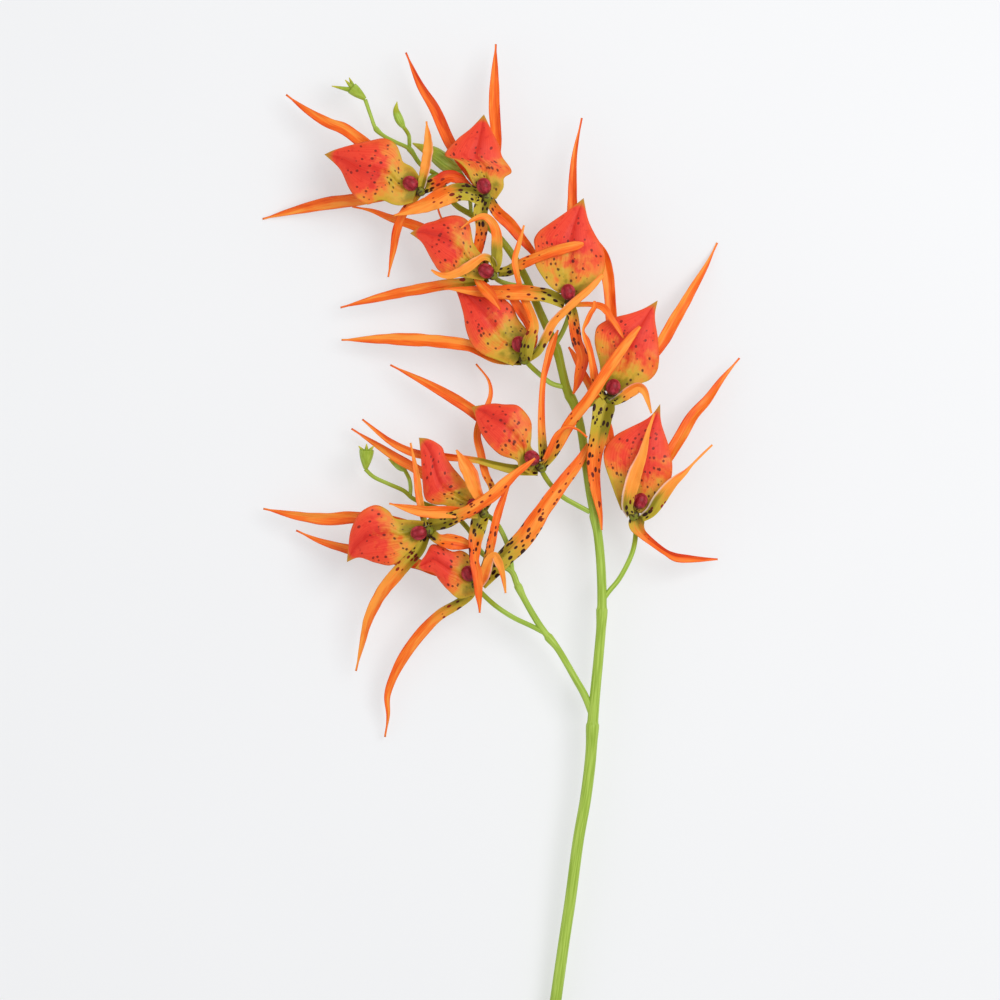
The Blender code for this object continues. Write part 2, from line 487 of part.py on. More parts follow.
def tepal(name, width, widest, route, collection):
    """A long blade along its route, channelled along its middle."""
    stations = max(len(route) + 1, FEWEST_STATIONS)
    rows = smooth_route([(*place(spot), *spot[3:]) for spot in route], stations)
    centre = rows[:, :3]
    ahead = np.gradient(centre, axis=0)
    side = np.column_stack([ahead[:, 1], -ahead[:, 0], np.zeros(len(ahead))])
    side /= np.linalg.norm(side, axis=1)[:, None]
    lift = np.cross(side, ahead)
    lift /= np.linalg.norm(lift, axis=1)[:, None]

    def surface(along, across):
        at = int(round(along * (stations - 1)))
        if width:
            half = tepal_width(along, width, widest)
        else:
            half = 0.5 * MM * max(rows[at, 3], BLADE_TIP_WIDTH)
        channel = BLADE_CHANNEL * half * (1.0 - along) * abs(across)
        return centre[at] + side[at] * half * across + lift[at] * channel

    return sheet(name, 2, stations - 1, surface, BLADE_THICKNESS, collection)


def lip(name, heights, left, right, collection):
    """A broad pointed lip, ruled between its two edges and crowned along its middle."""
    root, middle, tip = heights
    edges = [smooth_route([place((*spot, 0.0)) for spot in edge], LIP_ROWS) for edge in (left, right)]

    def surface(along, across):
        at = int(round(along * (LIP_ROWS - 1)))
        share = 0.5 + 0.5 * across
        spot = edges[0][at] * (1.0 - share) + edges[1][at] * share
        if along < 0.5:
            height = root + (middle - root) * math.sin(math.pi * along)
        else:
            height = tip + (middle - tip) * math.sin(math.pi * along)
        crown = LIP_CROWN * (1.0 - across**2) * math.sin(math.pi * along) ** 2
        spot[2] = (height + crown - 0.5 * LIP_CROWN) * MM
        return spot

    return sheet(name, LIP_COLUMNS, LIP_ROWS - 1, surface, LIP_THICKNESS, collection)


def egg(name, centre, heading, radii, collection, grow=0.0, flat=1.0):
    """An ellipsoid with its long axis along heading, flattened below the share flat of its height."""
    bm = bmesh.new()
    bmesh.ops.create_uvsphere(bm, u_segments=EGG_SEGMENTS, v_segments=EGG_RINGS, radius=1.0)
    for vert in bm.verts:
        vert.co.z = max(vert.co.z, -flat)
        vert.co = Vector([(radius + grow) * MM * part for radius, part in zip(radii, vert.co)])
    bmesh.ops.transform(bm, matrix=Matrix.Rotation(heading, 4, "Z"), verts=bm.verts)
    mesh = bpy.data.meshes.new(name)
    bm.to_mesh(mesh)
    bm.free()
    made = add_object(name, mesh, collection)
    made.location = Vector(centre)
    return made


def baked(obj):
    """Gives the object's mesh its place, so that its own place is the origin."""
    bpy.context.view_layer.update()
    obj.data.transform(obj.matrix_world)
    obj.matrix_world = Matrix.Identity(4)


def largest_body(mesh):
    """Drops loose scraps: keeps only the faces joined to the largest body."""
    bm = bmesh.new()
    bm.from_mesh(mesh)
    bmesh.ops.remove_doubles(bm, verts=bm.verts, dist=WELD * MM)
    bmesh.ops.dissolve_degenerate(bm, edges=bm.edges, dist=WELD * MM)
    bm.faces.ensure_lookup_table()
    unseen = set(bm.faces)
    bodies = []
    while unseen:
        body = {unseen.pop()}
        front = list(body)
        while front:
            face = front.pop()
            for edge in face.edges:
                for other in edge.link_faces:
                    if other in unseen:
                        unseen.discard(other)
                        body.add(other)
                        front.append(other)
        bodies.append(body)
    keep = max(bodies, key=len)
    bmesh.ops.delete(bm, geom=[face for face in bm.faces if face not in keep], context="FACES")
    bmesh.ops.triangulate(bm, faces=bm.faces)
    bm.to_mesh(mesh)
    bm.free()


def fused(obj, pieces):
    """Joins a collection of closed pieces into the object by one Boolean union."""
    union = obj.modifiers.new("Union", "BOOLEAN")
    union.operation = "UNION"
    union.operand_type = "COLLECTION"
    union.collection = pieces
    union.solver = "MANIFOLD"
    mesh = evaluated_mesh(obj)
    obj.modifiers.clear()
    obj.data = mesh
    for piece in list(pieces.objects):
        bpy.data.objects.remove(piece)
    bpy.data.collections.remove(pieces)
    largest_body(mesh)


def cut(obj, cutters):
    """Cuts each cutter from the object."""
    for cutter in cutters:
        difference = obj.modifiers.new("Cut", "BOOLEAN")
        difference.operation = "DIFFERENCE"
        difference.object = cutter
        difference.solver = "MANIFOLD"
    mesh = evaluated_mesh(obj)
    obj.modifiers.clear()
    obj.data = mesh
    largest_body(mesh)


def tube(name, points, collection):
    """A closed tube through rows of (x, y, z, radius in mm), made a mesh."""
    curve = bpy.data.curves.new(name, "CURVE")
    curve.dimensions = "3D"
    curve.bevel_depth = MM
    curve.bevel_resolution = 2
    curve.use_fill_caps = True
    spline = curve.splines.new("POLY")
    spline.points.add(len(points) - 1)
    for point, row in zip(spline.points, points):
        point.co = (*row[:3], 1.0)
        point.radius = row[3]
    guide = add_object(name, curve, collection)
    mesh = evaluated_mesh(guide)
    bpy.data.objects.remove(guide)
    bm = bmesh.new()
    bm.from_mesh(mesh)
    bmesh.ops.remove_doubles(bm, verts=bm.verts, dist=WELD * MM)
    bmesh.ops.recalc_face_normals(bm, faces=bm.faces)
    bm.to_mesh(mesh)
    bm.free()
    return add_object(name, mesh, collection)


def tapered_route(route, count):
    """Even points through (layout x, layout y, height, radius) rows."""
    return smooth_route([(*place(spot), spot[3]) for spot in route], count)


def heading_of(bloom):
    hub, column = place(bloom["hub"]), place(bloom["column"])
    return math.atan2(column[1] - hub[1], column[0] - hub[0])


def hub(name, bloom, collection, grow=0.0):
    size = (HUB_LENGTH, HUB_WIDTH, HUB_HEIGHT)
    return egg(name, place(bloom["hub"]), heading_of(bloom), size, collection, grow, HUB_FLAT)


def column(name, bloom, collection, grow=0.0):
    size = (COLUMN_LENGTH, COLUMN_RADIUS, COLUMN_HEIGHT)
    return egg(name, place(bloom["column"]), heading_of(bloom), size, collection, grow)


def build_bloom(letter, bloom, spray, cutters, finishes):
    """One bloom: its tepals fused with the hub, its lip and its column, each 0.3 mm clear."""
    tepals = hub(f"bloom_{letter}_tepals", bloom, spray)
    baked(tepals)
    blades = bpy.data.collections.new(f"bloom_{letter}_blades")
    bpy.context.scene.collection.children.link(blades)
    for index, (width, widest, route) in enumerate(bloom["tepals"]):
        tepal(f"blade_{letter}_{index}", width, widest, route, blades)
    fused(tepals, blades)
    tepals.data.materials.append(finishes["tepals"])

    wide_hub = hub(f"cutter_{letter}_hub", bloom, cutters, grow=GAP)
    wide_column = column(f"cutter_{letter}_column", bloom, cutters, grow=GAP)
    heights, left, right = bloom["lip"]
    blade = lip(f"bloom_{letter}_lip", heights, left, right, spray)
    cut(blade, [wide_hub, wide_column])
    blade.data.materials.append(finishes["lip"])

    ball = column(f"bloom_{letter}_column", bloom, spray)
    baked(ball)
    cut(ball, [wide_hub])
    ball.data.materials.append(finishes["column"])


def calyx(name, base, mouth, radius, prongs, pieces):
    """An open calyx: a flared cup with pointed prongs round its mouth."""
    start, end = place(base), place(mouth)
    flare = radius - CALYX_FOOT_RADIUS
    rows = []
    for t in np.linspace(0.0, 1.0, CALYX_STATIONS):
        width = CALYX_FOOT_RADIUS + flare * math.sin(0.5 * math.pi * t)
        rows.append((*(start + (end - start) * t), width))
    tube(name, rows, pieces)
    root = start + (end - start) * PRONG_START
    for index, tip in enumerate(prongs):
        rows = []
        for t in np.linspace(0.0, 1.0, PRONG_STATIONS):
            width = PRONG_RADIUS + (PRONG_TIP_RADIUS - PRONG_RADIUS) * t
            rows.append((*(root + (place(tip) - root) * t), width))
        tube(f"{name}_prong_{index}", rows, pieces)


def bud(name, pedicel, route, radius, pieces):
    """A closed bud on its own short pedicel."""
    foot = [(*spot, BUD_PEDICEL_RADIUS) for spot in pedicel]
    tube(f"{name}_pedicel", tapered_route(foot, BUD_PEDICEL_STATIONS), pieces)
    rows = smooth_route([place(spot) for spot in route], BUD_STATIONS)
    shares = np.sin(np.pi * np.linspace(BUD_START, BUD_END, BUD_STATIONS) ** BUD_LEAN)
    widths = [max(radius * share, BUD_TIP_RADIUS) for share in shares]
    tube(name, [(*row, width) for row, width in zip(rows, widths)], pieces)


def joint_ring(name, spot, pieces):
    """A low swelling round the stem, where a pedicel or branch leaves it."""
    radius = spot[3]
    size = (radius * JOINT_LENGTH, radius, radius * JOINT_HEIGHT)
    baked(egg(name, place(spot), 0.5 * math.pi, size, pieces))


def build_stem(spray, cutters, finishes):
    """The stem, its side branch, pedicels, buds and calyces, fused in one body."""
    pieces = bpy.data.collections.new("stem_pieces")
    bpy.context.scene.collection.children.link(pieces)
    stem = tube("stem", tapered_route(MAIN_STEM, MAIN_STATIONS), spray)
    tube("side_stem", tapered_route(SIDE_STEM, SIDE_STATIONS), pieces)
    for letter, route in PEDICELS.items():
        x, y, height = BLOOMS[letter]["hub"]
        seat = height - HUB_FLAT * HUB_HEIGHT - GAP
        rows = [*route, (x, y, seat - PEDICEL_TURN), (x, y, seat - PEDICEL_END), (x, y, seat)]
        points = tapered_route([(*spot, PEDICEL_RADIUS) for spot in rows[:-2]], PEDICEL_STATIONS)
        points = [*points, *[(*place(spot), PEDICEL_RADIUS) for spot in rows[-2:]]]
        tube(f"pedicel_{letter}", points, pieces)
    for index, spot in enumerate(JOINTS):
        joint_ring(f"joint_{index}", spot, pieces)
    for index, (pedicel, route, radius) in enumerate(BUDS):
        bud(f"bud_{index}", pedicel, route, radius, pieces)
    for index, (base, mouth, radius, prongs) in enumerate(CALYCES):
        calyx(f"calyx_{index}", base, mouth, radius, prongs, pieces)
    fused(stem, pieces)
    stem.data.materials.append(finishes["stem"])


def floor_cutter(cutters):
    """A slab whose top is the surface that the spray lies on."""
    bm = bmesh.new()
    bmesh.ops.create_cube(bm, size=1.0)
    mesh = bpy.data.meshes.new("cutter_surface")
    bm.to_mesh(mesh)
    bm.free()
    slab = add_object("cutter_surface", mesh, cutters)
    slab.scale = Vector(SURFACE_SLAB) * MM
    slab.location = (0.0, 0.25 * SURFACE_SLAB[1] * MM, -0.5 * SURFACE_SLAB[2] * MM)
    return slab


def main():
    for obj in list(bpy.data.objects):
        bpy.data.objects.remove(obj)
    spray = bpy.data.collections.new("spider_orchid_spray")
    cutters = bpy.data.collections.new("cutters")
    for collection in (spray, cutters):
        bpy.context.scene.collection.children.link(collection)
    finishes = {
        "tepals": material("tepal_orange", ORANGE, 0.5),
        "lip": material("lip_crimson", CRIMSON, 0.45),
        "column": material("column_wine", WINE, 0.4),
        "stem": material("stem_green", LEAF_GREEN, 0.5),
    }
    build_stem(spray, cutters, finishes)
    for letter, bloom in BLOOMS.items():
        build_bloom(letter, bloom, spray, cutters, finishes)
    slab = floor_cutter(cutters)
    for name in ("stem", "bloom_a_tepals", "bloom_f_tepals"):
        cut(spray.objects[name], [slab])
    for cutter in cutters.objects:
        cutter.hide_render = True
        cutter.display_type = "WIRE"
    for obj in spray.objects:
        obj.data.shade_smooth()
        obj.data.set_sharp_from_angle(angle=math.radians(SHARP_DEGREES))


main()
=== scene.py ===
"""The looks of a cut spray of orange spider orchids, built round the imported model.

Every bloom gets fine channelled tepals, a creased lip and a rounded column in the place of its
plain solids. The stem is one grown piece with its joints, buds and open calyces.
"""

import math

import bmesh
import bpy
import numpy as np
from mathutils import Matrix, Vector


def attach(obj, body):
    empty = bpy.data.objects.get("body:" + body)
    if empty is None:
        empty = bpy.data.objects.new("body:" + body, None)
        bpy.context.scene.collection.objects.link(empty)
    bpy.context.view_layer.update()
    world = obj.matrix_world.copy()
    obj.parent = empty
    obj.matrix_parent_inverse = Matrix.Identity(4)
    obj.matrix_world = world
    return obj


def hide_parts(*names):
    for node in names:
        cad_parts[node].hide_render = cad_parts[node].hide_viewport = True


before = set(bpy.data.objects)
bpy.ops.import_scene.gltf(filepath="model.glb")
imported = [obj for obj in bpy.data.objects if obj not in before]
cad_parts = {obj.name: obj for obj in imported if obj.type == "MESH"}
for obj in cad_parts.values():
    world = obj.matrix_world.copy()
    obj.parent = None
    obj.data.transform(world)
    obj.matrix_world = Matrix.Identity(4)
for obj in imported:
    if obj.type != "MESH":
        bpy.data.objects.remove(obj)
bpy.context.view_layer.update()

MM = 0.001

# The layout is drawn in steps of 0.6 mm, x to the right and y down the sheet, as the packed
# model's is, and this spot of it is the origin.
LAYOUT_STEP = 0.6
REST_X, REST_Y = 542.0, 1100.0

# The camera looks straight down on this layout spot and sees 600 mm from side to side. In metres:
# the width of its view, its own height, and the height of the spray's middle.
VIEW_SPOT = (500.0, 500.0, 0.0)
VIEW_WIDTH = 0.6
VIEW_HEIGHT = 6.0
MIDDLE_HEIGHT = 0.03

# Every place below is (layout x, layout y, height in mm). A bloom is its hub, its column, the
# heights of its lip's root, middle and tip, the lip's left and right edges from the hub to its
# tip, and five tepals: two lateral ones behind the lip, a dorsal one and two petals. A tepal is
# (width in mm, the share of its length where it is widest, route from the hub to its tip). A
# twisted or folded one has 0 and 0 there, and its width in mm as a fourth number at each place.
def bloom(hub, column, lip, left, right, *tepals):
    return {"hub": hub, "column": column, "lip": lip, "edges": (left, right), "tepals": tepals}


BLOOMS = {}
BLOOMS["a"] = bloom(
    (420, 191, 36), (410.6, 184, 42), (38.5, 41, 34),
    [(420, 178), (413, 168), (403, 162), (401, 156), (396, 145), (385, 139), (371, 141), (335, 150),
     (324.5, 154.6)],
    [(413, 203), (401, 206), (393, 205), (381, 200.5), (367.5, 205), (358, 200.5), (350, 190), (340, 169.5),
     (324.5, 154.6)],
    (7.8, 0.5, [(418, 189, 34), (390, 164, 30), (360, 140.5, 26), (343, 128.5, 24), (329, 123, 22),
     (305.5, 109, 18), (285.5, 93.5, 13)]),
    (8, 0.5, [(416, 191.5, 34), (385, 195, 29), (356, 199, 24), (323, 203.2, 14), (290, 210.2, 6),
     (261.5, 217.6, 0.3)]),
    (8.4, 0.45, [(422, 190, 37), (436, 184, 39), (451, 177, 39), (474, 187, 37)]),
    (6.6, 0.5, [(421, 188, 38), (425, 172, 41), (428.5, 149, 42), (426.6, 122, 40)]),
    (5.4, 0.4, [(419, 194, 34), (407, 208, 33), (398.5, 224, 30), (393, 250, 23), (388, 276.5, 16)]),
)
BLOOMS["b"] = bloom(
    (487, 197, 42), (484, 187, 48), (44.5, 46, 40),
    [(478, 192), (472, 182), (465, 169), (456, 161), (445, 156), (457, 140.5), (471, 129), (484, 115)],
    [(496, 200), (503.6, 188), (504, 179), (511.7, 172.7), (502, 157), (499.5, 147), (491, 130),
     (484, 115)],
    (7, 0.5, [(485, 195, 40), (466, 168, 35), (449.5, 141.5, 31), (434, 107.5, 25), (419.8, 84, 22),
     (405.6, 51.5, 16)]),
    (6.8, 0.6, [(488, 195, 40), (494, 168, 35), (496, 142, 31), (494, 101, 24), (495.8, 43, 15)]),
    (11.4, 0.42, [(482, 200, 43), (472, 194, 44), (460, 192.5, 45), (447, 195.8, 45), (429, 204, 43),
     (410, 211, 41), (394, 216, 39)]),
    (0, 0, [(484, 199, 43, 8.6), (480.8, 211.7, 42.5, 8.8), (481.5, 229, 41.5, 7.4), (479, 246, 38.4, 6.2),
     (476.5, 258, 36.8, 4.4), (475, 268, 36.3, 3.4), (476, 276, 37, 3.4), (480.5, 284.5, 39.6, 5.4),
     (487, 291, 42.2, 7.4), (494, 300, 43.8, 5), (500.5, 310, 43.5, 1)]),
    (7.6, 0.3, [(490, 200, 41), (496, 211, 38), (508.5, 222.7, 34), (520, 236.5, 31), (532, 251, 29),
     (545, 268, 27)]),
)
BLOOMS["c"] = bloom(
    (492, 275, 38), (486, 271.4, 46), (42.5, 41.5, 35),
    [(484, 281), (465, 278), (450, 276), (439, 271), (434, 264), (428.6, 254.5), (421.7, 242.5),
     (410, 233.5)],
    [(489, 262), (478, 251), (473.5, 243), (468, 221.5), (457, 216), (445, 217.4), (435.6, 221), (425, 224),
     (410, 233.5)],
    (7, 0.42, [(489, 273, 35), (465, 254, 32), (440, 237, 28), (414, 225, 24), (390, 217.3, 21),
     (372, 210.3, 19), (352, 206, 17)]),
    (6.8, 0.5, [(488, 278, 35), (477, 281, 34), (445, 285, 30), (416, 290, 26), (387, 295.5, 21),
     (362, 301.5, 17), (340, 307, 13)]),
    (0, 0, [(493, 273, 39, 3.4), (494.5, 266, 42.5, 3.6), (490.5, 259.5, 45.5, 4), (484, 257.8, 47, 4.4),
     (476.5, 262, 47.5, 5.2), (468, 268, 47.3, 6.2), (458, 273.5, 46.8, 5.6), (447, 276.3, 46, 4),
     (438, 274.4, 45.2, 2.6), (431.5, 270.5, 44.5, 1)]),
    (6.9, 0.25, [(494, 272, 41), (496.5, 262, 44), (497, 250, 46), (496.5, 235, 48), (491.5, 222.5, 50),
     (484, 217.3, 50.5), (472.5, 221, 50), (461, 229.5, 47)]),
    (0, 0, [(498, 273, 37, 5), (508.5, 271.2, 38.3, 6.4), (519.7, 265, 39.8, 6.8), (541.7, 256, 45, 6),
     (563.6, 249.2, 47, 6.4), (578.3, 245.8, 46.3, 4.8), (583.6, 244.4, 45.8, 1.8)]),
)
BLOOMS["d"] = bloom(
    (570, 303, 40), (568, 292.6, 46), (42.5, 43.5, 39),
    [(558, 293), (549, 286), (540, 274), (534.5, 263), (535, 250.7), (534, 240), (538.7, 232), (548, 225),
     (567, 211.7), (583.5, 198.5)],
    [(579, 297), (585, 290), (601, 277), (605, 263), (603, 249.5), (594, 233.5), (588, 220),
     (583.5, 198.5)],
    (6.8, 0.35, [(570, 300, 37), (571.5, 250, 30), (572.5, 205, 24), (574, 160, 20), (582, 117, 15)]),
    (6, 0.4, [(572, 300, 37), (580, 280, 33), (586, 258, 29), (590, 238, 26)]),
    (9.6, 0.42, [(565, 304, 40), (556, 299.5, 41.5), (544.6, 295, 42.5), (520, 292.6, 41.5),
     (499, 292, 38.8), (474, 291, 35.8), (451.5, 289, 34.5), (443.6, 289.5, 34)]),
    (0, 0, [(571, 307, 40, 5.6), (572.5, 315, 40.5, 6.6), (575, 331.5, 39.5, 6.7), (577.5, 343, 38.5, 6.8),
     (581, 351, 38, 6.6), (582.5, 359, 37.5, 7.6), (580.8, 369, 36.5, 6.8), (579, 377, 35, 6),
     (576.7, 385.4, 32.5, 3.7), (573.2, 394, 30, 1)]),
    (0, 0, [(574, 305, 41, 3), (590, 305, 44, 3.3), (602.5, 308, 46, 4.6), (611.4, 319.5, 47, 3.8),
     (618.6, 330, 46.8, 2.8), (623.5, 338.7, 46.5, 1)]),
)
BLOOMS["e"] = bloom(
    (524, 359, 36), (519, 344.5, 40), (37.5, 34, 26.5),
    [(513, 366), (499, 360.7), (484, 355), (473.6, 347), (466.7, 332), (463, 312.5), (457, 293),
     (452, 284)],
    [(531, 345), (528.5, 333), (518.5, 319.5), (512, 306), (499, 296), (478, 288.5), (452, 284)],
    (8, 0.6, [(522, 361, 33), (496, 358, 30), (469, 346, 27), (430, 341, 23), (396.5, 339, 19),
     (341, 339.4, 11)]),
    (6.8, 0.4, [(523, 357, 33), (500, 315, 27), (480, 280, 23), (460, 245, 21), (441, 217, 20),
     (437, 205, 20)]),
    (0, 0, [(527, 360, 37, 4), (537, 352, 41, 5.2), (545, 338, 45, 5.4), (553, 323, 48, 5.2),
     (573.3, 303.4, 52, 4.8), (590.4, 288.6, 52, 4.2), (602.6, 275.4, 50, 2.6)]),
    (0, 0, [(527, 361, 38.5, 5), (526.5, 352, 44, 7.7), (529, 340, 47.5, 7.6), (534, 328, 49.5, 5.8),
     (531, 315, 45.2, 5.2), (526, 303, 39, 5), (521, 292, 36.5, 4), (518.5, 281.5, 40.5, 3.4),
     (516.5, 273, 44.3, 3.6), (514.5, 262, 45.5, 3.6), (519, 244, 46, 3), (524, 226, 46, 1)]),
    (0, 0, [(526, 357, 37, 4), (532, 346, 40, 5.4), (533, 335, 41, 5.8), (528.5, 323, 39, 6),
     (521, 311, 36.5, 6.4), (512, 298, 34.5, 4.4)]),
)
BLOOMS["f"] = bloom(
    (610, 398, 38), (613, 387.3, 44), (40.5, 42, 37),
    [(600, 390), (599.6, 365.5), (595.6, 349), (594.4, 339), (596.7, 327.6), (603.6, 322), (617, 317),
     (629, 314), (643, 309), (657.6, 300.6)],
    [(620, 394), (640, 384), (649.5, 380), (656.4, 372), (658.7, 362), (657.6, 339), (654.7, 316),
     (657.6, 300.6)],
    (7.6, 0.42, [(613, 394, 35), (636, 370, 30), (659, 346, 25), (676.5, 317, 19), (692, 290.5, 13),
     (708, 263, 5), (718.3, 241.5, 0.3)]),
    (0, 0, [(611, 394, 34, 5), (612, 360, 29, 6.4), (612, 330, 25, 7), (611.4, 316, 24, 7),
     (610.4, 301, 22.5, 6.8), (607.2, 272, 20.5, 7.7), (603.5, 256, 19.3, 7), (597, 243.5, 18.5, 4.4),
     (592.5, 236, 18, 1.2)]),
    (0, 0, [(608, 400, 39, 9), (604.5, 407, 40.5, 13), (601.5, 420, 41.5, 12), (597.5, 440, 38, 10.5),
     (594.5, 458.6, 34.3, 9), (594.5, 480, 32.5, 7.2), (597.5, 500, 30.5, 5), (600.5, 516, 29.5, 2.8),
     (601.8, 530, 28.5, 1)]),
    (0, 0, [(611, 403, 40, 4), (620, 398.5, 43.5, 6), (630, 391.5, 46.8, 7.3), (638, 387.5, 48.5, 6.8),
     (643.5, 391, 48.6, 4.8), (647.5, 401.5, 48.2, 2.8), (651, 413.5, 47, 1)]),
    (0, 0, [(605, 398, 39.5, 3.6), (599, 389, 42.3, 4.6), (594.2, 379, 44.6, 5), (593.2, 371, 45.2, 5),
     (592, 363, 45.6, 4.2), (590, 353, 46.3, 3.8), (586.5, 341.4, 47.2, 4), (583, 330.8, 48.2, 1.6),
     (586.5, 322, 49.5, 3), (590.3, 314, 50.8, 3), (594.4, 307, 51.2, 2.8), (594, 301.6, 51.2, 1.4)]),
)
BLOOMS["g"] = bloom(
    (541, 467, 35), (532, 458, 40.5), (37, 38, 31),
    [(530, 474), (519, 467.7), (516.6, 461), (500.5, 455), (488, 443.6), (480, 431), (477.6, 424),
     (471.9, 406.6)],
    [(541, 457), (531, 447), (531.5, 436.5), (531, 422), (525, 412), (517, 405.3), (504, 404.5),
     (494, 403.5), (471.9, 406.6)],
    (7.2, 0.5, [(538, 465, 33), (504, 439, 29), (471.5, 410, 25), (430, 385, 19), (390, 364.5, 12)]),
    (0, 0, [(538, 471, 34, 6), (515.5, 469.5, 33, 6.2), (495, 465, 32, 4.6), (477.6, 460.5, 31, 3.8),
     (449, 457, 30, 4.6), (418, 454, 28.5, 5), (404, 449, 27, 4.8), (388, 440, 24, 3.6),
     (362, 419.2, 17, 1)]),
    (0, 0, [(543, 465, 37, 5.2), (551, 455, 40, 6.6), (560, 440, 42, 7), (570, 422.5, 45, 7),
     (586, 402, 50, 6.8), (602, 378, 53, 6.8), (621, 350.5, 53, 6), (631, 337, 52, 4.6),
     (639.5, 327, 51, 2)]),
    (3.4, 0.3, [(541, 464, 38), (546, 457, 42), (551, 445, 45.5), (558, 433, 48), (567, 427, 49),
     (577, 429.5, 47), (587, 437.4, 43)]),
    (0, 0, [(545, 464, 37.5, 4), (543, 453, 38.5, 5.4), (541.5, 426, 38, 4.6), (541.9, 394.4, 36.5, 3.6),
     (543.4, 378, 35, 3.6), (547.5, 361, 33.5, 4.4), (552, 345, 31.5, 4.6), (558, 330, 30, 1)]),
)
BLOOMS["h"] = bloom(
    (634, 515, 35), (640, 501, 40.5), (37, 38.5, 36),
    [(621, 510), (612, 486.6), (603.5, 458.6), (605, 447.4), (614.7, 436), (650, 416.5), (660, 404)],
    [(645, 514), (663, 496), (671, 478), (672, 464), (668, 444.5), (661, 422), (660, 404)],
    (7.6, 0.48, [(635, 511, 32), (652.5, 481, 28), (670, 454, 25), (680.5, 437, 23), (693, 416, 20),
     (707.4, 400, 17), (721.5, 380, 14), (740.3, 357.6, 10)]),
    (0, 0, [(632, 511, 32, 5), (620, 475, 28, 6.4), (611, 448, 25, 6.4), (607, 427, 23, 6.2),
     (599.5, 405, 22.4, 6), (591, 387.5, 22.2, 5.3), (584, 375, 22.3, 4.6), (577, 361, 22.5, 3.6),
     (572.6, 352.5, 22.7, 2.6), (568.7, 346.8, 23, 1)]),
    (0, 0, [(636, 515, 33, 5.6), (636.3, 520.5, 33, 9.4), (637, 526, 32.5, 9), (641.5, 533, 31, 6),
     (653.5, 543.5, 28.5, 4.2), (666.4, 552.5, 24.5, 4), (677, 557.6, 21, 5.4), (690.5, 559, 17.5, 4.5),
     (706, 559.5, 13, 2.5), (718.4, 559.5, 9, 1)]),
    (0, 0, [(630, 515, 39, 5), (627, 507, 44.5, 6.6), (628.6, 496, 47.2, 8.2), (634, 476, 48, 8.8),
     (642.3, 453.4, 47.5, 5.4), (648, 431, 46, 2.6), (654, 413.5, 45, 1)]),
    (0, 0, [(641.5, 518.5, 38, 4.6), (650.5, 512, 41, 6.6), (659.4, 499, 43.5, 8.2),
     (672.6, 482.8, 45, 6.2), (685, 472, 44.5, 3), (691, 465.5, 43.6, 1.6), (702, 454.5, 41, 1.4),
     (712, 445, 38, 1)]),
)
BLOOMS["i"] = bloom(
    (428, 531, 38), (419, 532.8, 44), (40.5, 41, 36),
    [(420, 541), (408, 553), (392, 565), (376, 562.7), (359, 557.5), (347, 562)],
    [(424, 521), (414, 520), (394.6, 518), (389, 511), (376, 505), (360, 513), (351, 530.5), (348.7, 545.5),
     (347, 562)],
    (7.8, 0.55, [(424, 529, 34), (385, 520, 29), (353, 517, 25), (329, 519, 22), (296, 515.6, 17),
     (262.6, 508.7, 11)]),
    (8.4, 0.3, [(426, 534, 35), (419, 549, 34), (404, 566, 32), (384.5, 589, 28), (369.5, 616, 23),
     (362, 643.5, 18), (355.5, 671.5, 12)]),
    (0, 0, [(429, 526, 36, 7), (435, 523.6, 39, 8.8), (446, 521, 43, 9.2), (457.4, 516, 46.5, 7.8),
     (469, 511, 48.6, 7.3), (480.4, 503.7, 49.8, 7.2), (492, 496, 50.5, 7.4), (503.4, 484.8, 50.5, 7),
     (514.8, 474.5, 50, 5), (526.3, 465.6, 49.5, 3.4), (535, 458.5, 49, 1)]),
    (4.6, 0.4, [(426, 526, 40), (423, 515, 41.5), (420, 500, 42), (416, 470, 42), (410.7, 443, 40)]),
    (0, 0, [(431, 533, 37, 6), (439.5, 539.5, 39, 6.6), (449.8, 541.4, 40.5, 9.3), (459, 542.7, 40, 8.6),
     (466, 544.5, 39, 6), (473, 547, 38, 1.4)]),
)
BLOOMS["j"] = bloom(
    (483, 513, 36), (475, 506, 41), (38, 38.5, 37),
    [(474, 518), (460, 509), (453.5, 508), (444, 505), (435, 504.5), (426, 500), (422.5, 480), (421, 457),
     (419, 437.7)],
    [(487, 502), (474, 492), (462, 478), (452, 466), (445, 455), (442, 447), (429, 439), (419, 437.7)],
    (6.3, 0.5, [(480, 511, 33), (447, 490, 28), (415, 468, 24), (397, 458, 21.5), (376, 444.4, 16.5),
     (351, 428.4, 11)]),
    (4.8, 0.4, [(485, 509, 34), (491, 498, 32), (492, 488, 30.5), (485.6, 474.6, 28.5), (481, 454, 26.5),
     (477, 436, 24.5), (480, 420, 22.5), (487.5, 405, 21), (490.8, 393, 20), (488.5, 380, 18),
     (476, 363.6, 14)]),
    (0, 0, [(484, 515.5, 37, 7), (480, 521, 39, 10), (476.2, 535.5, 42.5, 9), (474.8, 549, 45.5, 7.4),
     (474.4, 560.6, 47.5, 5.8), (477, 572, 48.5, 6.2), (478.2, 583.5, 48, 5.6), (478.8, 595, 47, 4.2),
     (479.6, 606.5, 45.5, 1.9), (479.7, 612.5, 44, 1)]),
    (7.6, 0.5, [(478, 514, 41), (466, 513, 44), (453, 512, 45.5), (435, 512, 46), (418, 510.5, 46),
     (389.5, 503.5, 44)]),
    (0, 0, [(486, 507, 40, 5), (481.5, 500, 44, 6), (477.2, 494, 46, 6.8), (474, 486, 47.8, 8.2),
     (470.1, 474.5, 48.8, 9.4), (464.6, 464, 48.6, 7.6), (460.5, 456.8, 48, 3.8), (456.4, 450, 47.2, 1)]),
)
